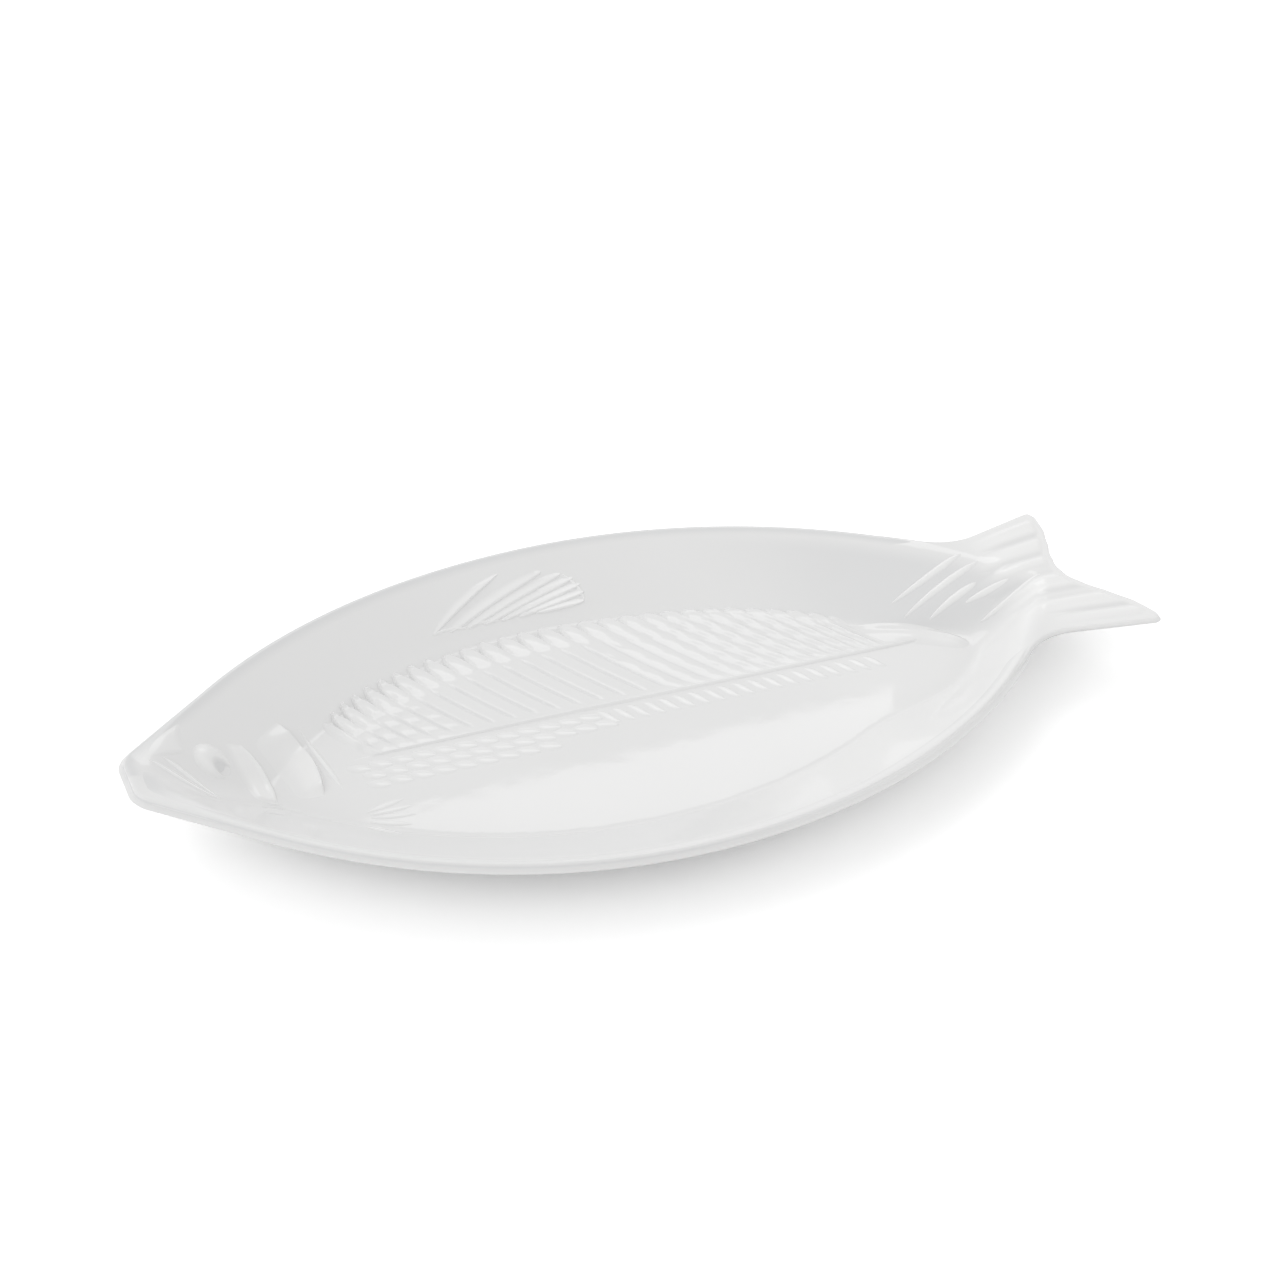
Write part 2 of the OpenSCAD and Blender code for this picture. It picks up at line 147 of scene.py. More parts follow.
def touch_point(p, centre, r):
    """Where the lower line from a point touches a circle."""
    dx, dy = p[0] - centre[0], p[1] - centre[1]
    a = math.atan2(dy, dx) - math.acos(r / math.hypot(dx, dy))
    return centre[0] + r * math.cos(a), centre[1] + r * math.sin(a)


FLANK_END = touch_point((0, NOSE_W / 2), (WIDEST_X, HALF_MAX - HEAD_R), HEAD_R)
FLARE_START = touch_point((BODY_L, TAIL_W / 2), (NECK_X, NECK_W / 2 + NECK_R), NECK_R)


def arc_r(x):
    return np.where(x < WIDEST_X, HEAD_R, TAIL_R)


def half_w(x):
    """Half width of the plan: straight flank, two arcs, hollow neck and straight flare."""
    x = np.asarray(x, float)
    flank = mix(NOSE_W / 2, FLANK_END[1], x / FLANK_END[0])
    r = arc_r(x)
    arc = HALF_MAX - r + np.sqrt(np.maximum(r ** 2 - (x - WIDEST_X) ** 2, 0))
    neck = NECK_W / 2 + NECK_R - np.sqrt(np.maximum(NECK_R ** 2 - (x - NECK_X) ** 2, 0))
    flare = mix(FLARE_START[1], TAIL_W / 2, (x - FLARE_START[0]) / (BODY_L - FLARE_START[0]))
    choices = [flank, arc, neck]
    return np.select([x < FLANK_END[0], x < NECK_JOIN_X, x < FLARE_START[0]], choices, flare)


def rounded_end(v, flat_share, r):
    q = np.maximum(np.abs(v) - flat_share, 0) / (1 - flat_share)
    return r * (1 - np.sqrt(1 - q * q))


def nose_end(v):
    return rounded_end(v, NOSE_FLAT, NOSE_ROUND)


def tail_end(v):
    full = np.sin(math.pi / 2 * np.minimum(np.abs(v) / TIP_SHARE, 1)) ** 2
    reach = mix(-TAIL_NOTCH, np.where(v < 0, TAIL_SKEW, 0), full)
    return BODY_L + reach - rounded_end(v, TIP_SHARE, TAIL_ROUND)


def rim_z(x):
    head = NOSE_RISE * ((WIDEST_X - x) / WIDEST_X) ** 2
    tail = TAIL_RISE * ((x - WIDEST_X) / (BODY_L - WIDEST_X)) ** 2
    return FLOOR_Z + WELL_DEPTH + np.where(x < WIDEST_X, head, tail)


def inset(plan, blend, bias=0):
    """Distance in from the two long arcs of the rim, rounded where their walls meet.

    bias moves that place towards the belly.
    """
    x, y = plan[..., 0], plan[..., 1]
    r = arc_r(x)
    back = r - np.hypot(x - WIDEST_X, y + r - HALF_MAX)
    belly = r - np.hypot(x - WIDEST_X, y - r + HALF_MAX)
    belly = belly + bias * smooth(0, END_BIAS_RUN, belly)
    h = np.maximum(blend - np.abs(back - belly), 0) / blend
    return np.minimum(back, belly) - h * h * blend / 4


def base_share(plan):
    """0 at the rim, 1 at the foot of the wall and on the floor, for the under side."""
    return np.clip(inset(plan, VALLEY_BLEND) / WALL_RUN, 0, 1)


def wall_share(plan):
    """0 at the rim, 1 at the foot of the wall and on the floor, for the upper side."""
    back_run = mix(*BACK_RUNS, smooth(*BACK_RUN_X, plan[..., 0]))
    run = mix(WALL_RUN, back_run, smooth(*BACK_SIDE_Y, plan[..., 1]))
    bias = END_BIAS * smooth(*END_BIAS_X, plan[..., 0])
    return np.clip(inset(plan, END_BLEND, bias) / run, 0, 1)


def wall_drop(u, cove):
    """Share of the depth: a flat lip that bends into the straight wall, then a cove onto the floor."""
    slope = 1 / (1 - LIP / 2 - cove / 2)
    bend = slope * u ** 2 / (2 * LIP)
    wall = slope * (u - LIP / 2)
    foot = 1 - slope * (1 - u) ** 2 / (2 * cove)
    return np.where(u < LIP, bend, np.where(u < 1 - cove, wall, foot))


def bowl_z(plan):
    return mix(rim_z(plan[..., 0]), FLOOR_Z, wall_drop(wall_share(plan), COVE))


def under_z(plan):
    u = base_share(plan)
    plain = mix(rim_z(plan[..., 0]), FLOOR_Z, wall_drop(u, UNDER_COVE)) - mix(EDGE_T, FLOOR_T, u)
    return np.minimum(plain, bowl_z(plan) - EDGE_T)


def place(share):
    """Plan point from a share of the length and a share of the half width there."""
    x = share[0] * BODY_L
    return np.array([x, share[1] * float(half_w(x))])


def places(shares):
    return [place(share) for share in shares]


def unit(v):
    return v / np.linalg.norm(v, axis=-1, keepdims=True)


def left_of(v):
    return np.stack([-v[..., 1], v[..., 0]], -1)


def grid(n, m):
    """Two arrays of shares, along the first and the second side of a grid of n by m cells."""
    return np.meshgrid(np.linspace(0, 1, n + 1), np.linspace(0, 1, m + 1), indexing="ij")


# Meshes

def grid_cells(n, m, first=0, turn=False):
    """Corner numbers of the cells of a grid with n by m points."""
    corner = first + np.arange(n * m).reshape(n, m)
    a, b, c, d = corner[:-1, :-1], corner[1:, :-1], corner[1:, 1:], corner[:-1, 1:]
    order = (a, d, c, b) if turn else (a, b, c, d)
    return np.stack(order, -1).reshape(-1, 4)


def grid_loop(n, m):
    """Corner numbers around a grid with n by m points, the way that its cells are wound."""
    corner = np.arange(n * m).reshape(n, m)
    return np.concatenate([corner[:-1, 0], corner[-1, :-1], corner[:0:-1, -1], corner[0, :0:-1]])


def ring_walls(loops, turn=False):
    """Cells between neighbouring closed loops of corner numbers."""
    cells = []
    for a, b in zip(loops, loops[1:]):
        after_a, after_b = np.roll(a, -1), np.roll(b, -1)
        order = (a, after_a, after_b, b) if turn else (a, b, after_b, after_a)
        cells.append(np.stack(order, -1))
    return np.concatenate(cells)


def is_turned(plan):
    """Whether the cells of a plan grid are wound clockwise, seen from above."""
    a, b = plan[1:, :-1] - plan[:-1, :-1], plan[:-1, 1:] - plan[:-1, :-1]
    return float(np.sum(a[..., 0] * b[..., 1] - a[..., 1] * b[..., 0])) < 0


def make_piece(name, points, faces, painted_light):
    """One glazed mesh object in metres that replaces the CAD node of its name.

    The last argument is the painted light and shade at each point: -1 for full painted shade, 0 for none, 1
    for full painted light.
    """
    mesh = bpy.data.meshes.new(name)
    shift = np.array([-PLATTER_L / 2, 0, 0])
    mesh.from_pydata(((points + shift) * MM).tolist(), [], faces)
    mesh.update()
    mesh.shade_smooth()
    mesh.set_sharp_from_angle(angle=math.radians(SHARP_DEGREES))
    # Painted light and shade at each point, which the glaze material reads
    layer = mesh.attributes.new("painted_light", "FLOAT", "POINT")
    layer.data.foreach_set("value", np.asarray(painted_light, np.float32).ravel())
    mesh.materials.append(GLAZE)
    piece = bpy.data.objects.new(name, mesh)
    bpy.context.scene.collection.objects.link(piece)
    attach(piece, BODY)
    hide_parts(name)
    return piece


def slab(plan, lift):
    """Closed slab on the dish from a plan grid and its lift above the bowl: points and cells."""
    n, m = lift.shape
    ground = bowl_z(plan)
    top = np.dstack([plan, ground + lift - SINK]).reshape(-1, 3)
    bottom = np.dstack([plan, ground - BURY]).reshape(-1, 3)
    turn = is_turned(plan)
    loop = grid_loop(n, m)
    cells = np.concatenate([
        grid_cells(n, m, 0, turn),
        grid_cells(n, m, n * m, not turn),
        ring_walls([loop, loop + n * m], turn),
    ])
    return np.concatenate([top, bottom]), cells


def relief(name, *slabs):
    """One piece made of slabs, each a plan grid, its lift and its painted light and shade."""
    points, faces, painted_lights = [], [], []
    count = 0
    for plan, lift, painted_light in slabs:
        p, c = slab(plan, lift)
        points.append(p)
        faces += (c + count).tolist()
        painted_lights += [np.broadcast_to(painted_light, lift.shape).ravel()] * 2
        count += len(p)
    return make_piece(name, np.concatenate(points), faces, np.concatenate(painted_lights))


def ridge(points, width, height, lean=0.0, blunt=0.5, n=24, m=12, flat=2.0, soft=1.5, light_paint=0.6):
    """Ridge along a Bezier curve.

    lean moves its crest to the left, blunt fills its ends, flat is 1 for plane facets and 2 for a
    round top, soft eases its feet, and the last argument is painted light on its crest, painted shade below
    0.
    """
    t = np.linspace(0, 1, n + 1)
    q = np.linspace(-1, 1, m + 1)
    line = bezier(points, t)
    side = left_of(unit(np.gradient(line, axis=0)))
    swell = np.maximum(1 - (2 * t - 1) ** 2, END_SWELL) ** blunt
    half = (np.broadcast_to(width, t.shape) / 2 * swell)[:, None]
    plan = line[:, None] + side[:, None] * (q[None, :] * half)[..., None]
    away = np.where(q > lean, (q - lean) / (1 - lean), (lean - q) / (1 + lean))
    profile = ((1 - away ** flat) ** soft)[None, :]
    # Painted light on the crest, painted shade where the value is below 0
    painted_light = light_paint * smooth(*CREST_SHARES, profile) * swell[:, None]
    return plan, (height * swell)[:, None] * profile, painted_light


# Materials

GLAZE_TONES = ((0.822, 0.822, 0.818), (0.842, 0.842, 0.840))
# Painted light and painted shade: the glaze colour is pulled towards the first tone where crests should look
# lit, and multiplied by the cool second tone where shade should fall
PAINTED_LIGHT_TONE = (0.905, 0.905, 0.900, 1)
PAINTED_SHADE_TONE = (0.900, 0.904, 0.910, 1)
GLAZE_ROUGHNESS = (0.01, 0.04)
GLAZE_IOR = 1.5
# Noise patterns: scale per metre, and detail
GLAZE_CLOUDS = (28.0, 3.0)
GLAZE_WEAR = (160.0, 5.0)
GLAZE_WAVE = (45.0, 2.0)
GLAZE_SKIN = (900.0, 2.0)
CLAY_CLOUDS = (60.0, 4.0)
CLAY_GRAIN = (1400.0, 4.0)
# Bumps: strength, and distance in metres
WAVE_BUMP = (0.10, 0.0006)
SKIN_BUMP = (0.04, 0.0001)
GRAIN_BUMP = (0.5, 0.0002)
CLAY_TONES = ((0.70, 0.65, 0.57), (0.80, 0.76, 0.69))
CLAY_SPECKS = (0.72, 0.68, 0.62, 1)
SPECK_RANGE = (0.62, 0.70)
CLAY_ROUGHNESS = (0.75, 0.95)


def new_material(name):
    material = bpy.data.materials.new(name)
    material.use_nodes = True
    nodes, links = material.node_tree.nodes, material.node_tree.links
    shader = nodes["Principled BSDF"]
    place_node = nodes.new("ShaderNodeTexCoord")
    return material, nodes, links, shader, place_node


def math_node(nodes, links, operation, source, second):
    """Math node on a source socket and a number or a second socket."""
    node = nodes.new("ShaderNodeMath")
    node.operation = operation
    links.new(source, node.inputs[0])
    if isinstance(second, (int, float)):
        node.inputs[1].default_value = second
    else:
        links.new(second, node.inputs[1])
    return node.outputs[0]


def noise(nodes, links, place_node, scale, detail):
    node = nodes.new("ShaderNodeTexNoise")
    node.inputs["Scale"].default_value = scale
    node.inputs["Detail"].default_value = detail
    links.new(place_node.outputs["Object"], node.inputs["Vector"])
    return node


def bumped(nodes, links, height, strength, distance):
    """Bump node on a noise node."""
    node = nodes.new("ShaderNodeBump")
    node.inputs["Strength"].default_value = strength
    node.inputs["Distance"].default_value = distance
    links.new(height.outputs["Fac"], node.inputs["Height"])
    return node


def spread(nodes, links, source, low, high):
    """Stretches a 0 to 1 value to low..high."""
    node = nodes.new("ShaderNodeMapRange")
    node.inputs["To Min"].default_value = low
    node.inputs["To Max"].default_value = high
    links.new(source, node.inputs["Value"])
    return node.outputs["Result"]


def two_tone(nodes, links, share, first, second):
    node = nodes.new("ShaderNodeMix")
    node.data_type = "RGBA"
    node.inputs["A"].default_value = (*first, 1)
    node.inputs["B"].default_value = (*second, 1)
    links.new(share, node.inputs["Factor"])
    return node.outputs["Result"]


def glaze_material():
    """Glossy white glaze, with painted light towards a lighter tone and painted shade towards a cool darker
    tone.
    """
    material, nodes, links, shader, at = new_material("glaze")
    clouds = noise(nodes, links, at, *GLAZE_CLOUDS)
    tone = two_tone(nodes, links, clouds.outputs["Fac"], *GLAZE_TONES)
    painted_light = nodes.new("ShaderNodeAttribute")
    painted_light.attribute_name = "painted_light"
    light_paint = nodes.new("ShaderNodeMix")
    light_paint.data_type = "RGBA"
    light_paint.inputs["B"].default_value = PAINTED_LIGHT_TONE
    links.new(painted_light.outputs["Fac"], light_paint.inputs["Factor"])
    links.new(tone, light_paint.inputs["A"])
    shade_share = math_node(nodes, links, "MULTIPLY", painted_light.outputs["Fac"], -1.0)
    shade_paint = nodes.new("ShaderNodeMix")
    shade_paint.data_type = "RGBA"
    shade_paint.blend_type = "MULTIPLY"
    shade_paint.inputs["B"].default_value = PAINTED_SHADE_TONE
    links.new(shade_share, shade_paint.inputs["Factor"])
    links.new(light_paint.outputs["Result"], shade_paint.inputs["A"])
    links.new(shade_paint.outputs["Result"], shader.inputs["Base Color"])
    wear = noise(nodes, links, at, *GLAZE_WEAR)
    links.new(spread(nodes, links, wear.outputs["Fac"], *GLAZE_ROUGHNESS), shader.inputs["Roughness"])
    shader.inputs["IOR"].default_value = GLAZE_IOR
    wave_bump = bumped(nodes, links, noise(nodes, links, at, *GLAZE_WAVE), *WAVE_BUMP)
    skin_bump = bumped(nodes, links, noise(nodes, links, at, *GLAZE_SKIN), *SKIN_BUMP)
    links.new(wave_bump.outputs["Normal"], skin_bump.inputs["Normal"])
    links.new(skin_bump.outputs["Normal"], shader.inputs["Normal"])
    return material


def clay_material():
    """Matte unglazed clay of the foot, with fine grain and a few darker specks."""
    material, nodes, links, shader, at = new_material("bare_clay")
    clouds = noise(nodes, links, at, *CLAY_CLOUDS)
    tone = two_tone(nodes, links, clouds.outputs["Fac"], *CLAY_TONES)
    grain = noise(nodes, links, at, *CLAY_GRAIN)
    specks = nodes.new("ShaderNodeMix")
    specks.data_type = "RGBA"
    specks.blend_type = "MULTIPLY"
    specks.inputs["B"].default_value = CLAY_SPECKS
    dots = nodes.new("ShaderNodeMapRange")
    dots.inputs["From Min"].default_value = SPECK_RANGE[0]
    dots.inputs["From Max"].default_value = SPECK_RANGE[1]
    links.new(grain.outputs["Fac"], dots.inputs["Value"])
    links.new(dots.outputs["Result"], specks.inputs["Factor"])
    links.new(tone, specks.inputs["A"])
    links.new(specks.outputs["Result"], shader.inputs["Base Color"])
    links.new(spread(nodes, links, grain.outputs["Fac"], *CLAY_ROUGHNESS), shader.inputs["Roughness"])
    grain_bump = bumped(nodes, links, grain, *GRAIN_BUMP)
    links.new(grain_bump.outputs["Normal"], shader.inputs["Normal"])
    return material


GLAZE = glaze_material()
CLAY = clay_material()
SEED = 7
chance = np.random.default_rng(SEED)


# Dish: floor, wall and tail blade in one skin with a rounded edge

DISH_STATIONS = 280
DISH_ROWS = 140
# How strongly the rows of the dish crowd towards its edges
ROW_CROWDING = 0.86
EDGE_STEPS = 8
TAIL_SCALLOPS = 9
TAIL_SCALLOP_DEPTH = 0.4
TAIL_SCALLOP_REACH = 0.97
# The dish's own edge stays back inside the rim bead, and comes out to the outline at the tail
EDGE_BACK = 2.3
EDGE_OUT = (0.88, 0.80)


def plan_grid(s, v, inset):
    """Plan points for shares along and across the outline, moved in from it."""
    wave = np.abs(np.sin(math.pi / 2 * TAIL_SCALLOPS * v))
    scallop = TAIL_SCALLOP_DEPTH * wave * (np.abs(v) < TAIL_SCALLOP_REACH)
    x = mix(nose_end(v) + inset, tail_end(v) - scallop - inset, s)
    return np.stack([x, v * (half_w(x) - inset)], -1)


# Painted light and shade of the dish, and the stretches of the length where they come in
END_WALL_PAINTED_SHADE = -0.9
END_WALL_X = (250, 330)
NEAR_WALL_PAINTED_SHADE_AND_LIGHT = (-0.35, 0.6)
NEAR_WALL_X = (185, 240)
BLADE_PAINTED_LIGHT = 0.6
BLADE_X = (350, 370)
FLOOR_PAINTED_LIGHT = 0.35
FLOOR_X = (240, 290)
FAR_SIDE_Y = (-25, 5)
# Shares of the way down the wall where its painted light and shade come in and go out, and where the floor's
# painted light comes in
WALL_TOP_U = (0.1, 0.3)
WALL_FOOT_U = (1, 0.9)
FLOOR_U = (0.95, 1)


def dish_painted_light(plan):
    """Painted light and shade of the bowl: painted shade on the end wall and the near wall's middle, painted
    light on the tail side.
    """
    x, y = plan[..., 0], plan[..., 1]
    u = wall_share(plan)
    on_wall = smooth(*WALL_TOP_U, u) * smooth(*WALL_FOOT_U, u)
    far = smooth(*FAR_SIDE_Y, y)
    end_wall = END_WALL_PAINTED_SHADE * smooth(*END_WALL_X, x) * far
    near_wall = mix(*NEAR_WALL_PAINTED_SHADE_AND_LIGHT, smooth(*NEAR_WALL_X, x)) * (1 - far)
    blade = BLADE_PAINTED_LIGHT * smooth(*BLADE_X, x)
    floor = FLOOR_PAINTED_LIGHT * smooth(*FLOOR_X, x) * smooth(*FLOOR_U, u)
    return on_wall * (end_wall + near_wall) + blade + floor


def dish_body():
    s, across = grid(DISH_STATIONS, DISH_ROWS)
    crowding = math.pi / 2 * ROW_CROWDING
    v = np.sin(crowding * (2 * across - 1)) / math.sin(crowding)
    back = EDGE_BACK * smooth(*EDGE_OUT, s)
    outer = plan_grid(s, v, back)
    inner = plan_grid(s, v, back + EDGE_T / 2)
    n, m = s.shape
    loop = grid_loop(n, m)
    top_z = bowl_z(inner)
    top = np.dstack([inner, top_z]).reshape(-1, 3)
    bottom = np.dstack([inner, under_z(inner)]).reshape(-1, 3)
    edge_in, edge_out = inner.reshape(-1, 2)[loop], outer.reshape(-1, 2)[loop]
    high, low = top[loop, 2], bottom[loop, 2]
    points, loops = [top, bottom], [loop]
    for k in range(1, EDGE_STEPS):
        a = math.pi * (0.5 - k / EDGE_STEPS)
        ring = np.column_stack([
            mix(edge_in, edge_out, math.cos(a)),
            (high + low) / 2 + (high - low) / 2 * math.sin(a),
        ])
        loops.append(np.arange(len(loop)) + sum(len(p) for p in points))
        points.append(ring)
    loops.append(loop + n * m)
    cells = np.concatenate([
        grid_cells(n, m), grid_cells(n, m, n * m, True), ring_walls(loops)
    ])
    points = np.concatenate(points)
    make_piece("dish_body", points, cells.tolist(), dish_painted_light(points[:, :2]))


# Rolled rim: a bead from neck to neck around the nose

RIM_LAST = 0.9
RIM_STEP = 1.6
RIM_TAPER = 30
RIM_THIN = 0.25
RIM_MIDDLE = (1.2, -1.0)
# Section of the bead: distance in from the outline, and height above the dish there
RIM_SECTION = [
    (1.5, -3.3), (0.5, -2.95), (0.05, -2.5), (0.2, -2.15), (0.9, -1.8), (1.55, -1.4), (1.85, -0.75),
    (2.0, -0.1), (2.45, 0.32), (3.3, 0.44), (4.6, 0.32), (6.2, 0.13), (7.6, 0.0), (8.3, -0.12),
    (8.5, -0.5), (6.0, -1.0), (2.8, -2.4),
]
RIM_SMOOTH = 3
RIM_SAMPLES = 400
NOSE_SAMPLES = 80
# Points over which the way in from the outline is evened out, to each side
EVEN_REACH = 4
# Painted light and shade of the rim: painted shade on its step, painted light on its outer face towards the
# tail, and painted shade that dims the reflection on its crest on the far side
STEP_PAINTED_SHADE = -0.9
STEP_HEIGHT = (-0.8, 0.5)
OUTER_PAINTED_LIGHT = 0.6
OUTER_TOP = 0.2
OUTER_INSET = 2.6
CREST_PAINTED_SHADE = -1.0
CREST_INSET = (4.0, 2.2)
RIM_TAILWARD_X = (150, 280)


def closed_spline(points, per_side):
    """Smooth closed curve through points."""
    p = np.asarray(points, float)
    before, after, later = np.roll(p, 1, 0), np.roll(p, -1, 0), np.roll(p, -2, 0)
    rows = []
    for k in range(per_side):
        t = k / per_side
        rows.append(0.5 * (
            2 * p + (after - before) * t + (2 * before - 5 * p + 4 * after - later) * t ** 2
            + (3 * p - before - 3 * after + later) * t ** 3
        ))
    return np.stack(rows, 1).reshape(-1, 2)


def rim_path():
    """Outline from the belly side neck around the nose to the back side neck, evenly spaced."""
    s = np.linspace(0, RIM_LAST, RIM_SAMPLES)
    v = np.sin(np.linspace(-math.pi / 2, math.pi / 2, NOSE_SAMPLES))
    sides = []
    for e in (-1.0, 1.0):
        x = mix(nose_end(e), tail_end(e), s)
        sides.append(np.stack([x, e * half_w(x)], -1))
    nose = np.stack([nose_end(v), v * half_w(nose_end(v))], -1)
    path = np.concatenate([sides[0][::-1], nose[1:-1], sides[1]])
    run = np.concatenate([[0], np.cumsum(np.linalg.norm(np.diff(path, axis=0), axis=1))])
    even = np.linspace(0, run[-1], int(run[-1] / RIM_STEP))
    return np.stack([np.interp(even, run, path[:, k]) for k in (0, 1)], -1), even


def rim_roll():
    path, run = rim_path()
    inward = -left_of(unit(np.gradient(path, axis=0)))
    kernel = np.bartlett(2 * EVEN_REACH + 1)
    padded = np.pad(inward, ((EVEN_REACH, EVEN_REACH), (0, 0)), "edge")
    inward = unit(np.stack([np.convolve(padded[:, k], kernel, "valid") for k in (0, 1)], -1))
    section = closed_spline(RIM_SECTION, RIM_SMOOTH)
    full = mix(RIM_THIN, 1, smooth(0, RIM_TAPER, np.minimum(run, run[-1] - run)))[:, None]
    away = mix(RIM_MIDDLE[0], section[None, :, 0], full)
    height = mix(RIM_MIDDLE[1], section[None, :, 1], full)
    plan = path[:, None] + inward[:, None] * away[..., None]
    points = np.dstack([plan, bowl_z(plan) + height]).reshape(-1, 3)
    loops = np.arange(len(points)).reshape(len(path), len(section))
    faces = ring_walls(loops, True).tolist() + [loops[0].tolist(), loops[-1][::-1].tolist()]
    # Painted shade on the step and the far crest, painted light on the outer face towards the tail
    outside = section[:, 0] < OUTER_INSET
    step = STEP_PAINTED_SHADE * bump(section[:, 1], *STEP_HEIGHT) * outside
    outer = OUTER_PAINTED_LIGHT * (section[:, 1] < OUTER_TOP) * outside
    crest = CREST_PAINTED_SHADE * bump(section[:, 0], *CREST_INSET)
    near = path[:, 1:] < 0
    tailward = smooth(*RIM_TAILWARD_X, path[:, :1])
    make_piece("rim_roll", points, faces, mix(step, outer, tailward) + crest * ~near)


# Head

def plate(front_shares, rear_shares, height, n=36, m=36):
    """Plate between a front and a rear curve, with lift and painted light and shade from the shares along and
    across.
    """
    a, b = grid(n, m)
    plan = mix(bezier(places(front_shares), a), bezier(places(rear_shares), a), b[..., None])
    return plan, *height(a, b)


def pillow(t, power=3):
    return 1 - np.abs(2 * t - 1) ** power


def plate_edge(a, b, eases):
    return eased(a, eases[0]) * eased(b, eases[1])


def upper_jaw_form(a, b):
    edge = plate_edge(a, b, JAW_UPPER_EASES)
    return JAW_UPPER_H * edge, JAW_UPPER_PAINTED_LIGHT * edge


def lower_jaw_form(a, b):
    # Painted shade in a patch near the front of the lower jaw; its lift has no hollow there
    shaded_patch = bump(a, *JAW_SHADE_PATCH) * pillow(b, 2)
    lift = JAW_LOWER_H * pillow(a, 3) * pillow(b, 2)
    return lift, JAW_PATCH_PAINTED_SHADE * shaded_patch


def cheek_form(a, b):
    rear = bump(b, *CHEEK_REAR) * smooth(0, CHEEK_REAR_START, a)
    lobe = bump(a, *CHEEK_LOBE) * pillow(b, CHEEK_LOBE_POWER)
    edge = plate_edge(a, b, CHEEK_EASES)
    lift = CHEEK_H + CHEEK_REAR_H * rear + CHEEK_LOBE_H * lobe
    painted_light = CHEEK_PAINTED_LIGHT + CHEEK_REAR_PAINTED_LIGHT * rear + CHEEK_LOBE_PAINTED_LIGHT * lobe
    return lift * edge, painted_light * edge


def gill_form(a, b):
    light = smooth(*GILL_LIGHT_ALONG, a) * smooth(*GILL_LIGHT_ACROSS, b)
    painted_light = GILL_PAINTED_LIGHT + GILL_PAINTED_HIGHLIGHT * light + GILL_REAR_PAINTED_SHADE * bump(b, *GILL_REAR)
    return GILL_H * plate_edge(a, b, GILL_EASES), painted_light


JAW_UPPER = ([[0.034, 0.84], [0.018, 0.62], [0.030, 0.46]], [[0.076, 0.84], [0.060, 0.64], [0.068, 0.44]])
JAW_LOWER = ([[0.014, -0.55], [0.042, -0.82], [0.085, -0.78]], [[0.014, 0.25], [0.042, 0.12], [0.078, -0.22]])
CHEEK = ([[0.103, 0.49], [0.101, 0.25], [0.113, -0.06]], [[0.118, 0.44], [0.142, 0.20], [0.131, -0.10]])
GILL = ([[0.125, 0.43], [0.143, 0.23], [0.148, -0.10]], [[0.162, 0.53], [0.192, 0.26], [0.174, -0.10]])
GILL_RIB = [[0.180, 0.47], [0.188, 0.17], [0.192, -0.10]]
LIP_UPPER = [[0.041, 0.45], [0.055, 0.29], [0.081, -0.16]]
LIP_LOWER = [[0.028, 0.44], [0.046, 0.21], [0.081, -0.19]]
# Throat folds: start and end along the length, and share of the half width
FOLDS = [[0.116, 0.135, -0.11], [0.114, 0.132, -0.18], [0.110, 0.130, -0.33]]
# Eases of the plates, along and across, and the centre and width of their humps, all as shares
JAW_UPPER_EASES = ((0.3, 0.85), (0.6, 0.8))
# Centre and width of the painted shade patch on the lower jaw, as shares
JAW_SHADE_PATCH = (0.12, 0.2)
CHEEK_EASES = ((0.15, 0.9), (0.4, 0.93))
CHEEK_REAR = (0.84, 0.09)
CHEEK_REAR_START = 0.25
CHEEK_LOBE = (0.8, 0.2)
CHEEK_LOBE_POWER = 2.5
GILL_EASES = ((0.2, 0.88), (0.9, 0.94))
# Where the gill cover gets its painted highlight, along and across
GILL_LIGHT_ALONG = (0.15, 0.55)
GILL_LIGHT_ACROSS = (0.2, 0.65)
# Hump of painted shade along the rear edge of the gill cover
GILL_REAR = (1, 0.04)
# Heights, widths and painted light and shade of the head
CHEEK_PAINTED_LIGHT = 0.65
CHEEK_REAR_PAINTED_LIGHT = 0.4
CHEEK_LOBE_PAINTED_LIGHT = 0.5
GILL_PAINTED_LIGHT = 0.25
GILL_PAINTED_HIGHLIGHT = 0.55
GILL_REAR_PAINTED_SHADE = -0.8
JAW_UPPER_H = 0.6
JAW_UPPER_PAINTED_LIGHT = 0.4
JAW_LOWER_H = 0.4
JAW_PATCH_PAINTED_SHADE = -1.2
CHEEK_H = 0.7
CHEEK_REAR_H = 0.3
CHEEK_LOBE_H = 0.4
GILL_H = 1.9
GILL_RIB_W = 2.6
GILL_RIB_H = 0.5
LIP_W = 3.0
LIP_H = 0.7
FOLD_W = 2.4
FOLD_H = 0.35
FOLD_PAINTED_SHADE = -0.6
# Shapes of the gill rib and the lips; the last value is painted light on their crests
GILL_RIB_SHAPE = dict(lean=0.2, blunt=0.6, n=40, light_paint=0.8)
LIP_SHAPE = dict(lean=0.0, blunt=0.6, n=36, light_paint=1.2)
EYE = [0.0865, 0.33]
EYE_SIZE = (13, 15.5)
EYE_H = 2.6
EYE_POWER = 1.1
PUPIL_D = 6.6
PUPIL_DEPTH = 1.4
PUPIL_SHIFT = (2.9, -3.0)
# Shares of the pupil's radius over which its hollow sinks, and of the eye's over which it stays inside
PUPIL_EDGE = (1.15, 0.55)
PUPIL_INSIDE = (1, 0.8)
# Painted light on the eye's dome
EYE_PAINTED_LIGHT = 0.4
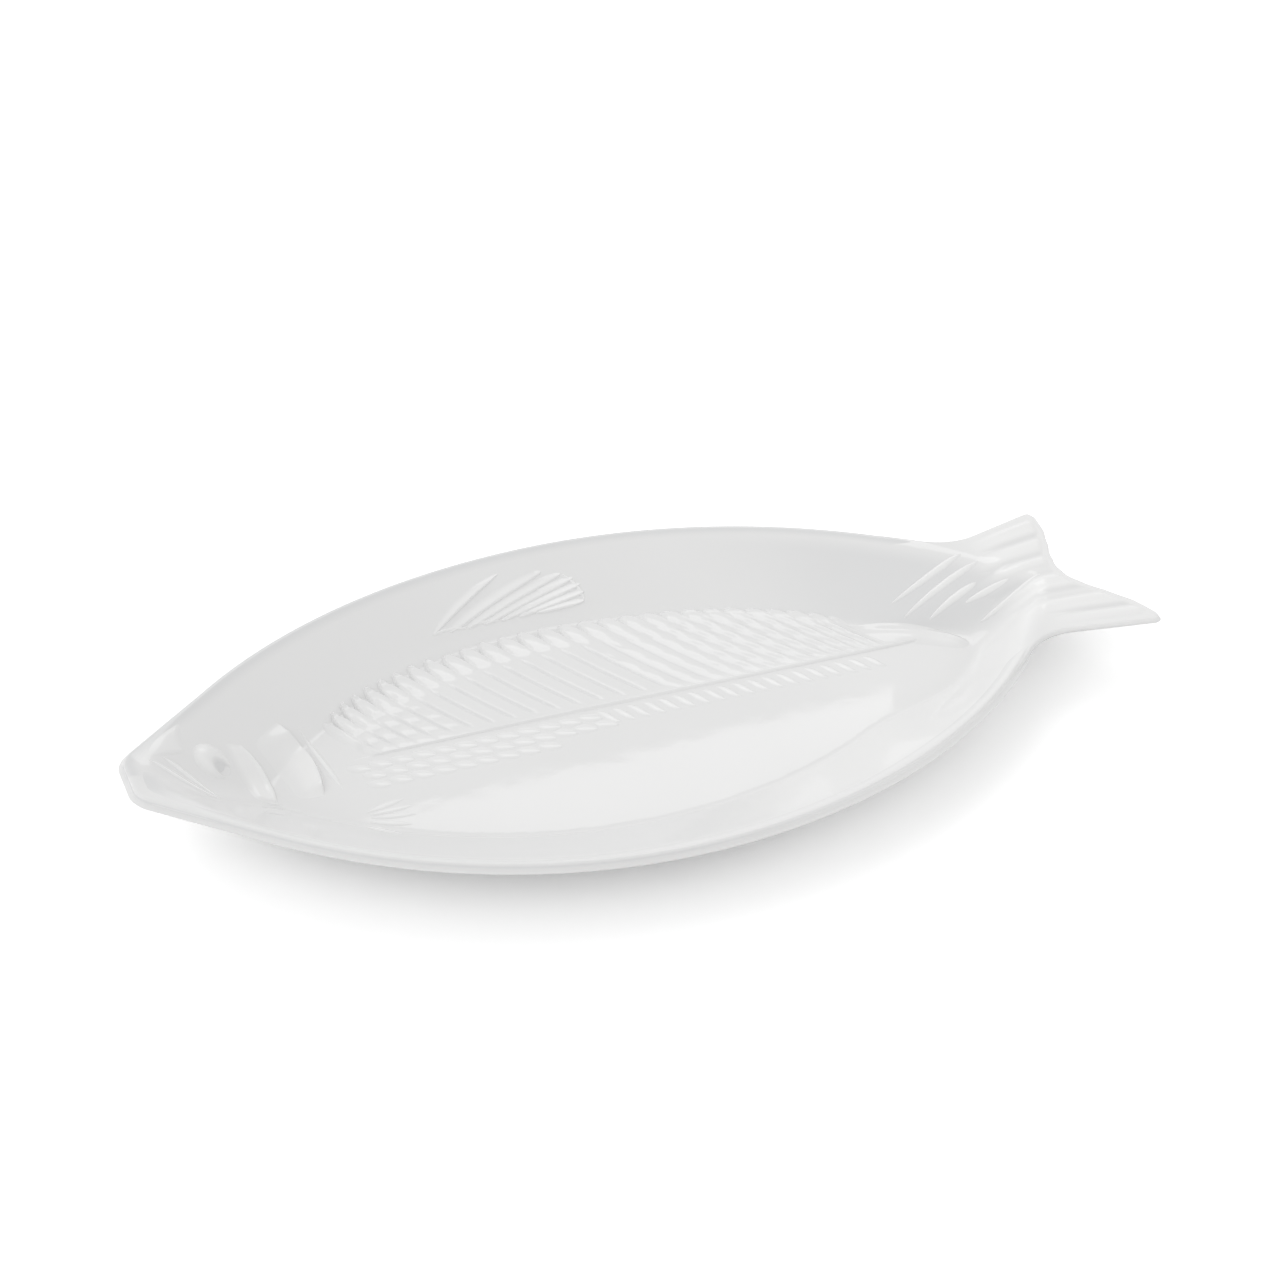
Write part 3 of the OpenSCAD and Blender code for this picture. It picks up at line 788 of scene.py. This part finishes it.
# Painted highlight as a crescent on the front of the eye: its strength, radius and width, and the side where
# it shows
CRESCENT_PAINTED_HIGHLIGHT = 0.5
CRESCENT = (0.6, 0.25)
CRESCENT_SIDE = (0.1, -0.4)
# Painted shade in the pupil's hollow
PUPIL_PAINTED_SHADE = -1.5


def eye_slab(n=44):
    """Dome on a square grid pressed into an oval, with a hollow for the pupil."""
    a, b = grid(n, n)
    u, v = 2 * a - 1, 2 * b - 1
    disc = np.stack([u * np.sqrt(1 - v * v / 2), v * np.sqrt(1 - u * u / 2)], -1)
    r = np.minimum(np.linalg.norm(disc, axis=-1), 1)
    plan = place(EYE) + disc * np.array(EYE_SIZE) / 2
    pupil = place(EYE) + np.array(PUPIL_SHIFT)
    hole = smooth(*PUPIL_EDGE, np.linalg.norm(plan - pupil, axis=-1) / (PUPIL_D / 2))
    dome = EYE_H * (1 - r * r) ** EYE_POWER
    crescent = bump(r, *CRESCENT) * smooth(*CRESCENT_SIDE, disc[..., 0])
    # Painted light on the dome and the crescent, painted shade in the pupil
    painted_light = EYE_PAINTED_LIGHT + CRESCENT_PAINTED_HIGHLIGHT * crescent + PUPIL_PAINTED_SHADE * hole
    return plan, dome - PUPIL_DEPTH * hole * smooth(*PUPIL_INSIDE, r), painted_light


def head():
    relief("upper_jaw", plate(*JAW_UPPER, upper_jaw_form))
    relief("lower_jaw", plate(*JAW_LOWER, lower_jaw_form))
    relief("cheek_plate", plate(*CHEEK, cheek_form))
    relief("gill_cover", plate(*GILL, gill_form))
    relief("gill_rib", ridge(places(GILL_RIB), GILL_RIB_W, GILL_RIB_H, **GILL_RIB_SHAPE))
    lips = [ridge(places(lip), LIP_W, LIP_H, **LIP_SHAPE) for lip in (LIP_UPPER, LIP_LOWER)]
    relief("lips", *lips)
    # Throat folds: low ridges with painted shade along their crests
    folds = []
    for start, end, side in FOLDS:
        folds.append(ridge(places([[start, side], [end, side]]), FOLD_W, FOLD_H, light_paint=FOLD_PAINTED_SHADE))
    relief("throat_folds", *folds)
    relief("eye", eye_slab())


# Body

BACK = [[0.205, 0.46], [0.312, 0.82], [0.613, 0.765], [0.755, 0.27]]
LINE = [[0.212, 0.11], [0.475, 0.05], [0.798, -0.045]]
LINE_W = 3.2
LINE_SHIFT = 1.2
LINE_HEIGHTS = (0.1, 1.3)
# Painted shade on the line's crest at the head end and painted light towards the tail, and the shares along
# it where one goes over to the other
LINE_PAINTED_SHADE_AND_LIGHT = (-0.3, 0.9)
LINE_PAINT_ALONG = (0.3, 0.8)
LINE_CELLS = 200
LINE_SHAPE = dict(lean=0.1, blunt=0.15, n=LINE_CELLS)
RIB_COUNT = 29
RIB_LEAN = 0.45
RIB_BEND = 1.3
CELLS_PER_RIB = 16
RIB_CELLS = 120
BODY_H = 1.1
FINGER_H = 0.75
GROOVE_DEPTH = 0.3
# Power that crowds the rows of cells towards the tips
RIB_ROW_POWER = 1.15
# Rib numbers between which the fingers of the head half become the ridges of the tail half
TAILWARD_RIBS = (13, 20)
# First and last ribs over which the body rises: rib numbers, and numbers back from the last
FIRST_RIBS = (-0.5, 0.4)
LAST_RIBS = (0.5, 2)
# Gaps between the fingers: run is measured from the tip, left to the lateral line
WEDGE = 0.28
WEDGE_RUN = 9
FINGER_EDGE = (-0.02, 0.14)
FINGER_RUN = (20, 5)
GAP_RUN = (11, 6)
GAP_TAIL = 0.35
# Rounded tips: share of the pitch, narrowing, unevenness, share at the tail and run of the rise
TIP_ROUND = 0.8
TIP_NARROW = 1.9
TIP_UNEVEN = 0.5
TIP_TAIL = 0.45
TIP_RISE = (0.1, 2.6)
# Knobs, grooves and rows of the head half: painted highlights on the knobs, painted shade in the gaps and
# grooves, painted light on the rows
KNOB_RUN = 13
KNOB_L = 4.5
KNOB_W = 0.26
KNOB_H = 0.3
KNOB_PAINTED_HIGHLIGHT = 0.4
KNOB_UNEVEN = 0.4
HEAD_GAP_PAINTED_SHADE = -0.4
GROOVE_W = 0.09
GROOVE_RUN = (18, 27)
GROOVE_LEFT = (3, 9)
GROOVE_PAINTED_SHADE = -0.9
ROW_PITCH = 9
ROW_RIBS = (7, 2)
ROW_RUN = (12, 18)
ROW_H = 0.12
ROW_PAINTED_LIGHT = 0.25
# Ridges and smooth band of the tail half, with painted light on them and painted shade in the gaps
RIDGE_H = 0.45
RIDGE_SLIM = 1.6
RIDGE_BASE = 0.3
RIDGE_RUN = (6, 14)
RIDGE_LEFT = (1, 6)
RIDGE_PAINTED_LIGHT = 0.8
UNEVEN = 0.35
UNEVEN_WAVE = 0.55
UNEVEN_SHIFT = 3
BAND_RUN = (6, 4)
BAND_H = 0.3
BAND_PAINTED_LIGHT = 0.25
TAIL_GAP = 0.6
TAIL_GAP_PAINTED_SHADE = -0.5
# Fall of the body towards the lateral line, and the painted light along its foot
BODY_FALL = 0.4
BODY_FALL_LEFT = 45
BODY_EDGE = 1.2
FOOT_PAINTED_LIGHT = 0.35
FOOT_LEFT = (3.0, 2.5)
FOOT_RIBS = (10, 20)

LINE_SAMPLES = 200
line_points = bezier(places(LINE), np.linspace(0, 1, LINE_SAMPLES))


def line_y(x):
    return np.interp(x, line_points[:, 0], line_points[:, 1])


def rib_plan(i, t):
    """Plan point on rib number i, from its tip at the back (t = 0) to the lateral line (t = 1)."""
    tip = bezier(places(BACK), i / RIB_COUNT)
    foot_x = tip[..., 0] + RIB_LEAN * (tip[..., 1] - line_y(tip[..., 0]))
    foot_y = line_y(foot_x)
    return np.stack([mix(tip[..., 0], foot_x, t ** RIB_BEND), mix(tip[..., 1], foot_y, t)], -1)


def rib_cells():
    """Grid over the body: its plan, and at each point the rib, the run from the tip and what is left."""
    a, t = grid(RIB_COUNT * CELLS_PER_RIB, RIB_CELLS)
    i = a * RIB_COUNT - 0.5
    plan = rib_plan(i, t ** RIB_ROW_POWER)
    steps = np.linalg.norm(np.diff(plan, axis=1), axis=-1)
    run = np.concatenate([np.zeros((len(a), 1)), np.cumsum(steps, axis=1)], axis=1)
    whole = np.clip(np.round(i), 0, RIB_COUNT - 1).astype(int)
    off = np.abs(i - whole)
    return SimpleNamespace(
        plan=plan, i=i, whole=whole, off=off, run=run, left=run[:, -1:] - run,
        slim=np.cos(math.pi * off) ** 2,
        tailward=smooth(*TAILWARD_RIBS, i),
        jitter=chance.uniform(-1, 1, (RIB_COUNT, 3))[whole],
    )


def rib_gaps(c):
    """1 on the fingers, and 1 in the wedges between them."""
    wedge = WEDGE * smooth(WEDGE_RUN, 0, c.run)
    finger = smooth(*FINGER_EDGE, 0.5 - wedge - c.off)
    return finger, (1 - finger) * smooth(*GAP_RUN, c.run) * mix(1, GAP_TAIL, c.tailward)


def rib_rise(c):
    """0 before the rounded tip of a rib, 1 behind it."""
    pitch = np.linalg.norm(np.gradient(c.plan[:, :1], axis=0), axis=-1) * CELLS_PER_RIB
    tip = TIP_ROUND * pitch * (1 - np.sqrt(np.maximum(1 - (TIP_NARROW * c.off) ** 2, 0)))
    tip = (tip + TIP_UNEVEN * c.jitter[..., 0]) * mix(1, TIP_TAIL, c.tailward)
    return smooth(TIP_RISE[0] + tip, TIP_RISE[1] + tip, c.run)


def head_ribs(c, finger, gap):
    """Lift and painted light and shade of plump fingers at the back that run out into strips between thin
    grooves.
    """
    knob = bump(c.run, KNOB_RUN + c.jitter[..., 1], KNOB_L) * bump(c.off, 0, KNOB_W)
    groove = bump(c.off, 0.5, GROOVE_W) * smooth(*GROOVE_RUN, c.run) * smooth(*GROOVE_LEFT, c.left)
    rows = np.cos(2 * math.pi * (c.run / ROW_PITCH + 0.5 * (c.whole % 2)))
    rows = rows * c.slim * smooth(*ROW_RIBS, c.i) * smooth(*ROW_RUN, c.run)
    fingers = FINGER_H * finger * smooth(*FINGER_RUN, c.run) + KNOB_H * knob
    lift = BODY_H * (1 - gap) + fingers * (1 - gap) - GROOVE_DEPTH * groove + ROW_H * rows
    light = KNOB_PAINTED_HIGHLIGHT * (1 + KNOB_UNEVEN * c.jitter[..., 2]) * knob
    return lift, light + HEAD_GAP_PAINTED_SHADE * gap + GROOVE_PAINTED_SHADE * groove + ROW_PAINTED_LIGHT * rows


def tail_ribs(c, gap):
    """Lift and painted light and shade of the smooth band and the slim ridges below it."""
    uneven = 1 + UNEVEN * np.sin(UNEVEN_WAVE * c.run + UNEVEN_SHIFT * c.jitter[..., 1])
    ridges = RIDGE_H * uneven * (c.slim ** RIDGE_SLIM - RIDGE_BASE)
    ridges = ridges * smooth(*RIDGE_RUN, c.run) * smooth(*RIDGE_LEFT, c.left)
    band = bump(c.run, *BAND_RUN)
    lift = BODY_H * (1 - TAIL_GAP * gap) + BAND_H * band + ridges
    return lift, RIDGE_PAINTED_LIGHT * ridges + BAND_PAINTED_LIGHT * band + TAIL_GAP_PAINTED_SHADE * gap


def body_ribs():
    """Raised body of the fish, from the head's fingers to the tail's ridges."""
    c = rib_cells()
    finger, gap = rib_gaps(c)
    head_lift, head_painted_light = head_ribs(c, finger, gap)
    tail_lift, tail_painted_light = tail_ribs(c, gap)
    lift = mix(head_lift, tail_lift, c.tailward) * rib_rise(c)
    lift = lift - BODY_FALL * smooth(BODY_FALL_LEFT, 0, c.left)
    last = [RIB_COUNT - back for back in LAST_RIBS]
    ends = smooth(*FIRST_RIBS, c.i) * smooth(*last, c.i)
    # Painted light and shade of the body, with painted light along its foot
    painted_light = (1 - c.tailward) * head_painted_light + c.tailward * tail_painted_light
    painted_light += FOOT_PAINTED_LIGHT * bump(c.left, *FOOT_LEFT) * smooth(*FOOT_RIBS, c.i)
    relief("body_ribs", (c.plan, np.maximum(lift, 0) * ends * smooth(0, BODY_EDGE, c.left), painted_light))


def lateral_line():
    """Ridge along the lateral line that grows towards the tail."""
    along = np.linspace(0, 1, LINE_CELLS + 1)
    light_paint = mix(*LINE_PAINTED_SHADE_AND_LIGHT, smooth(*LINE_PAINT_ALONG, along))[:, None]
    path = [point + np.array([0, LINE_SHIFT]) for point in places(LINE)]
    relief("lateral_line", ridge(path, LINE_W, mix(*LINE_HEIGHTS, along), light_paint=light_paint, **LINE_SHAPE))


SCALE_PITCHES = (8.3, 6.2)
SCALE_L = (9.8, 12.0)
SCALE_W = (6.2, 3.8)
SCALE_H = 0.45
SCALE_LEANS = (-25, -56)
SCALE_BEND = 0.35
# Painted light on the scales' crests, at the head and at the tail
SCALE_PAINTED_LIGHTS = (0.32, 0.8)
SCALE_SHAPE = dict(lean=0.1, blunt=0.6, n=18, flat=2.4)
# Rows of scales: start and end along the length, and distance below the lateral line
SCALE_ROWS = [[0.215, 0.455, 5.1], [0.215, 0.445, 11.1], [0.225, 0.41, 17.1]]
STROKE_ROW = [0.46, 0.745, 7.0]


def scale_row(start, end, drop, shift, tailward):
    """Row of scales: round and near level at the head, slim strokes that lean at the tail."""
    slabs = []
    pitch = mix(*SCALE_PITCHES, tailward)
    lean = math.radians(mix(*SCALE_LEANS, tailward))
    way = mix(*SCALE_L, tailward) / 2 * np.array([math.cos(lean), math.sin(lean)])
    bend = left_of(way) * SCALE_BEND * tailward
    for x in np.arange(start * BODY_L, end * BODY_L, pitch) + shift * pitch:
        middle = np.array([x, line_y(x) - drop])
        path = [middle - way, middle - way / 3 + bend, middle + way / 3 - bend, middle + way]
        light_paint = mix(*SCALE_PAINTED_LIGHTS, tailward)
        slabs.append(ridge(path, mix(*SCALE_W, tailward), SCALE_H, light_paint=light_paint, **SCALE_SHAPE))
    return slabs


def belly_scales():
    slabs = scale_row(*STROKE_ROW, 0, 1)
    for row, ends in enumerate(SCALE_ROWS):
        slabs += scale_row(*ends, 0.5 * (row % 2), 0)
    relief("belly_scales", *slabs)


# Fins

# Power that crowds the tips of the fin's rays, and how far its rays and base bow out
FIN_CROWDING = 0.72
FIN_BOWS = (0.09, 0.02)
FIN_BASE_BOW = 0.14
FIN_FIRST_W = 0.75
FIN_BLUNTS = (0.6, 0.3)
FIN_REAR = (2, 4, 6)
# The last value in each of these shapes is painted light on the crests
FIN_RAY_SHAPE = dict(lean=-0.8, n=40, m=20, flat=1.1, soft=1.0, light_paint=0.8)
FIN_EDGE_SHAPE = dict(lean=0.0, blunt=0.3, n=24, light_paint=0.9)
FIN_BASE_W = 1.8
FIN_BASE_H = 0.6
FIN_REAR_W = 1.6
FIN_REAR_H = 0.4
PELVIC_RAY_W = 3.6
PELVIC_RAY_H = 0.45
PELVIC_SHAPE = dict(lean=-0.2, blunt=0.7, light_paint=0.8)
ROOT_H = 0.9
ROOT_EASES = ((0.5, 0.75), (0.2, 0.5))
# Painted light over the tail root, and more of it at its end
ROOT_PAINTED_LIGHT = 0.3
ROOT_END = (0.8, 0.2)
ROOT_END_PAINTED_LIGHT = 0.5
SPINDLE_WIDTHS = (2.2, 4.6)
SPINDLE_H = 0.7
SPINDLE_CELLS = 36
# Spindle shape, with strong painted light on the crests as its last value
SPINDLE_SHAPE = dict(lean=0.2, blunt=0.45, n=SPINDLE_CELLS, m=16, flat=1.6, soft=1.2, light_paint=1.3)
FIN_BASE = [[0.347, 0.71], [0.402, 0.70], [0.459, 0.69]]
FIN_TIP = [[0.439, 0.89], [0.534, 0.86], [0.513, 0.69]]
FIN_RAYS = 7
FIN_RAY_WIDTHS = (5.4, 3.6)
FIN_RAY_H = 0.85
# Rays at whose feet the scalloped base of the fin has its points
FIN_POINTS = (0, 2, 4, 6)
PELVIC_ROOT = [0.180, -0.33]
PELVIC_TIP = [[0.240, -0.23], [0.256, -0.34], [0.220, -0.50]]
PELVIC_RAYS = 5
PELVIC_START = 0.34
# Band that closes the body towards the tail, between its upper and its lower edge
ROOT = (
    [[0.725, 0.27], [0.770, 0.24], [0.848, 0.02], [0.846, -0.25]],
    [[0.725, 0.04], [0.790, 0.01], [0.812, -0.20], [0.836, -0.29]],
)
BLADE_START = 0.885
BLADE_REACH = 0.92
BLADE_BOW = 6
BLADE_BACK = 2.5
# Streaks on the blade: count across, and sway as a share of a streak and its rate
STREAKS = 5.5
STREAK_SWAY = (0.16, 9)
FINE_STREAKS = 13
FINE_SWAY = (0.3, 5)
FINE_LEAN = 0.2
# Heights of the plain blade, the streaks and the fine streaks, and the painted light and shade of the last
# two
STREAK_HEIGHTS = (0.5, 0.3, 0.12)
STREAK_PAINTED_LIGHTS = (0.7, 0.3)
STREAK_EASES = ((0.6, 0.9), (0.06, 0.94))
# Spindles on the end wall of the tail, each from its thin lower end to its broad upper end
SPINDLES = [
    [[0.797, 0.30], [0.847, 0.49], [0.889, 0.71]],
    [[0.800, 0.17], [0.849, 0.37], [0.899, 0.53]],
    [[0.822, 0.10], [0.855, 0.21], [0.883, 0.28]],
    [[0.862, 0.12], [0.883, 0.14], [0.918, 0.14]],
    [[0.866, -0.11], [0.893, -0.09], [0.945, 0.02]],
]


def fin_foot(t):
    return bezier(places(FIN_BASE), t)


def fin_tip(t):
    return bezier(places(FIN_TIP), t ** FIN_CROWDING)


def dorsal_fin():
    """Rays that overlap like wedges, with a scalloped base and a thin rear edge."""
    slabs = []
    shares = [k / (FIN_RAYS - 1) for k in range(FIN_RAYS)]
    for k, t in enumerate(shares):
        foot, tip = fin_foot(t), fin_tip(t)
        middle = (foot + tip) / 2 + left_of(tip - foot) * mix(*FIN_BOWS, t)
        width = mix(*FIN_RAY_WIDTHS, t) * (FIN_FIRST_W if k == 0 else 1)
        blunt = FIN_BLUNTS[0] if k == 0 else FIN_BLUNTS[1]
        slabs.append(ridge([foot, middle, tip], width, FIN_RAY_H, blunt=blunt, **FIN_RAY_SHAPE))
    points = [fin_foot(shares[k]) for k in FIN_POINTS]
    for a, b in zip(points, points[1:]):
        middle = (a + b) / 2 + left_of(b - a) * FIN_BASE_BOW
        slabs.append(ridge([a, middle, b], FIN_BASE_W, FIN_BASE_H, **FIN_EDGE_SHAPE))
    rear = [fin_tip(shares[k]) for k in FIN_REAR]
    slabs.append(ridge(rear, FIN_REAR_W, FIN_REAR_H, **FIN_EDGE_SHAPE))
    relief("dorsal_fin", *slabs)


def pelvic_fin():
    slabs = []
    for k in range(PELVIC_RAYS):
        tip = bezier(places(PELVIC_TIP), k / (PELVIC_RAYS - 1))
        root = mix(place(PELVIC_ROOT), tip, PELVIC_START)
        slabs.append(ridge([root, tip], PELVIC_RAY_W, PELVIC_RAY_H, **PELVIC_SHAPE))
    relief("pelvic_fin", *slabs)


def root_form(a, b):
    edge = plate_edge(a, b, ROOT_EASES)
    return ROOT_H * edge, (ROOT_PAINTED_LIGHT + ROOT_END_PAINTED_LIGHT * bump(a, *ROOT_END)) * edge


def tail_root():
    relief("tail_root", plate(*ROOT, root_form, n=48, m=24))


def blade_streaks(n=70, m=180):
    """Soft streaks over the tail blade, wide and low, of uneven width."""
    along, across = grid(n, m)
    v = BLADE_REACH * (2 * across - 1)
    start = BLADE_START * BODY_L - BLADE_BOW * np.cos(math.pi * v)
    x = mix(start, tail_end(v) - BLADE_BACK, along)
    plan = np.stack([x, v * half_w(x)], -1)
    sway = STREAK_SWAY[0] * np.sin(STREAK_SWAY[1] * across)
    wave = np.sin(2 * math.pi * (STREAKS * across + sway))
    fine_sway = FINE_SWAY[0] * np.sin(FINE_SWAY[1] * across)
    fine = np.sin(2 * math.pi * (FINE_STREAKS * across + fine_sway + FINE_LEAN * along))
    body = STREAK_HEIGHTS[0] + STREAK_HEIGHTS[1] * wave + STREAK_HEIGHTS[2] * fine
    fade = plate_edge(along, across, STREAK_EASES)
    # Painted light and shade of the bowl under the blade, plus painted light and shade along the streaks
    painted_light = dish_painted_light(plan) + (STREAK_PAINTED_LIGHTS[0] * wave + STREAK_PAINTED_LIGHTS[1] * fine) * fade
    return plan, np.maximum(body, 0) * fade, painted_light


def tail_rays():
    slabs = [blade_streaks()]
    for shares in SPINDLES:
        widths = np.linspace(*SPINDLE_WIDTHS, SPINDLE_CELLS + 1)
        path = places(shares)
        slabs.append(ridge(path, widths, SPINDLE_H, **SPINDLE_SHAPE))
    relief("tail_rays", *slabs)


# Stage: camera, floor, softbox and world

VIEW_AZIMUTH = 23.48
VIEW_ELEVATION = 32.93
VIEW_DISTANCE = 880
VIEW_AIM = (5.36, 21.58, 22.5)
LENS = 63.26
SENSOR = 36

SOFTBOX_PLANE_Y = 1100
SOFTBOX_X = (128, 778)
SOFTBOX_Z = (894, 1500)
SOFTBOX_GLOW = 1.12
# Soft light of the room: height angle of each ring of lobes in degrees, and the lobes' levels,
# starting at the far side and turning towards the tail
ROOM_RINGS = [
    (18, (0.99, 0.56, 0.45, 0.70, 0.50, 0.55, 0.82, 0.81)),
    (52, (0.14, 0.0, 0.13, 0.23, 0.17, 0.19)),
]
ROOM_FOCUS = 4
FLOOR_HALF = 6.0
FLOOR_SEEN = 1.36
FLOOR_MIRRORED = 1.0
FLOOR_GREY = 0.8


def add_camera():
    data = bpy.data.cameras.new("camera")
    data.lens = LENS
    data.sensor_width = SENSOR
    camera = bpy.data.objects.new("camera", data)
    azimuth, elevation = math.radians(VIEW_AZIMUTH), math.radians(VIEW_ELEVATION)
    back = Vector((
        -math.sin(azimuth) * math.cos(elevation),
        -math.cos(azimuth) * math.cos(elevation),
        math.sin(elevation),
    ))
    camera.location = (Vector(VIEW_AIM) + back * VIEW_DISTANCE) * MM
    camera.rotation_euler = (-back).to_track_quat("-Z", "Y").to_euler()
    bpy.context.scene.collection.objects.link(camera)
    bpy.context.scene.camera = camera


def add_lamp(name, size, glow, spot, turn):
    """Oblong soft lamp that shines along its own -Z, hidden from the camera."""
    data = bpy.data.lights.new(name, "AREA")
    data.shape = "RECTANGLE"
    data.size, data.size_y = (side * MM for side in size)
    data.energy = glow * math.pi * data.size * data.size_y
    lamp = bpy.data.objects.new(name, data)
    lamp.location = Vector(spot) * MM
    lamp.rotation_euler = turn
    lamp.visible_camera = False
    bpy.context.scene.collection.objects.link(lamp)
    return lamp


def add_lamps():
    """A softbox whose mirror image is the light patch in the dish."""
    size = (SOFTBOX_X[1] - SOFTBOX_X[0], SOFTBOX_Z[1] - SOFTBOX_Z[0])
    spot = (sum(SOFTBOX_X) / 2, SOFTBOX_PLANE_Y, sum(SOFTBOX_Z) / 2)
    add_lamp("softbox", size, SOFTBOX_GLOW, spot, (math.radians(90), 0, math.radians(180)))


def room_level(nodes, links):
    """Level of the room's soft light by direction: the sum of broad lobes around the table."""
    way = nodes.new("ShaderNodeTexCoord")
    lobes = []
    for height, levels in ROOM_RINGS:
        rise = math.radians(height)
        for k, level in enumerate(levels):
            turn = 2 * math.pi * k / len(levels)
            along = nodes.new("ShaderNodeVectorMath")
            along.operation = "DOT_PRODUCT"
            along.inputs[1].default_value = (
                math.sin(turn) * math.cos(rise), math.cos(turn) * math.cos(rise), math.sin(rise)
            )
            links.new(way.outputs["Generated"], along.inputs[0])
            lobe = math_node(nodes, links, "MAXIMUM", along.outputs["Value"], 0.0)
            lobe = math_node(nodes, links, "POWER", lobe, ROOM_FOCUS)
            lobes.append(math_node(nodes, links, "MULTIPLY", lobe, level))
    total = lobes[0]
    for lobe in lobes[1:]:
        total = math_node(nodes, links, "ADD", total, lobe)
    return total


def seen_white(nodes, links):
    """1 for rays from the camera, off gloss or through glass, else 0."""
    path = nodes.new("ShaderNodeLightPath")
    either = math_node(nodes, links, "MAXIMUM", path.outputs["Is Camera Ray"], path.outputs["Is Glossy Ray"])
    return math_node(nodes, links, "MAXIMUM", either, path.outputs["Is Transmission Ray"])


def add_world():
    """White where it is seen, and the room's soft light for everything else."""
    world = bpy.data.worlds.new("studio")
    world.use_nodes = True
    bpy.context.scene.world = world
    nodes, links = world.node_tree.nodes, world.node_tree.links
    nodes.clear()
    white = nodes.new("ShaderNodeBackground")
    white.inputs["Color"].default_value = (1, 1, 1, 1)
    white.inputs["Strength"].default_value = 1.0
    soft = nodes.new("ShaderNodeBackground")
    soft.inputs["Color"].default_value = (1, 1, 1, 1)
    links.new(room_level(nodes, links), soft.inputs["Strength"])
    choose = nodes.new("ShaderNodeMixShader")
    links.new(seen_white(nodes, links), choose.inputs[0])
    links.new(soft.outputs[0], choose.inputs[1])
    links.new(white.outputs[0], choose.inputs[2])
    out = nodes.new("ShaderNodeOutputWorld")
    links.new(choose.outputs[0], out.inputs[0])


def add_floor():
    """Pale floor that is white where the light is full and keeps the soft shadow of the platter."""
    mesh = bpy.data.meshes.new("floor")
    corners = [(-FLOOR_HALF, -FLOOR_HALF, 0), (FLOOR_HALF, -FLOOR_HALF, 0),
               (FLOOR_HALF, FLOOR_HALF, 0), (-FLOOR_HALF, FLOOR_HALF, 0)]
    mesh.from_pydata(corners, [], [(0, 1, 2, 3)])
    floor = bpy.data.objects.new("floor", mesh)
    bpy.context.scene.collection.objects.link(floor)
    material = bpy.data.materials.new("floor")
    material.use_nodes = True
    nodes, links = material.node_tree.nodes, material.node_tree.links
    nodes.clear()
    path = nodes.new("ShaderNodeLightPath")
    gloss, glass = path.outputs["Is Glossy Ray"], path.outputs["Is Transmission Ray"]
    mirrored = math_node(nodes, links, "MAXIMUM", gloss, glass)
    pale = nodes.new("ShaderNodeMix")
    pale.inputs["A"].default_value = FLOOR_GREY
    pale.inputs["B"].default_value = FLOOR_MIRRORED
    links.new(mirrored, pale.inputs["Factor"])
    tone = nodes.new("ShaderNodeMix")
    tone.inputs["B"].default_value = FLOOR_SEEN
    links.new(path.outputs["Is Camera Ray"], tone.inputs["Factor"])
    links.new(pale.outputs["Result"], tone.inputs["A"])
    matte = nodes.new("ShaderNodeBsdfDiffuse")
    links.new(tone.outputs["Result"], matte.inputs["Color"])
    out = nodes.new("ShaderNodeOutputMaterial")
    links.new(matte.outputs[0], out.inputs[0])
    mesh.materials.append(material)


dish_body()
rim_roll()
head()
body_ribs()
lateral_line()
belly_scales()
dorsal_fin()
pelvic_fin()
tail_root()
tail_rays()

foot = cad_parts["foot_ring"]
foot.data.materials.clear()
foot.data.materials.append(CLAY)

add_camera()
add_lamps()
add_world()
add_floor()
bpy.context.scene.view_settings.view_transform = "Standard"
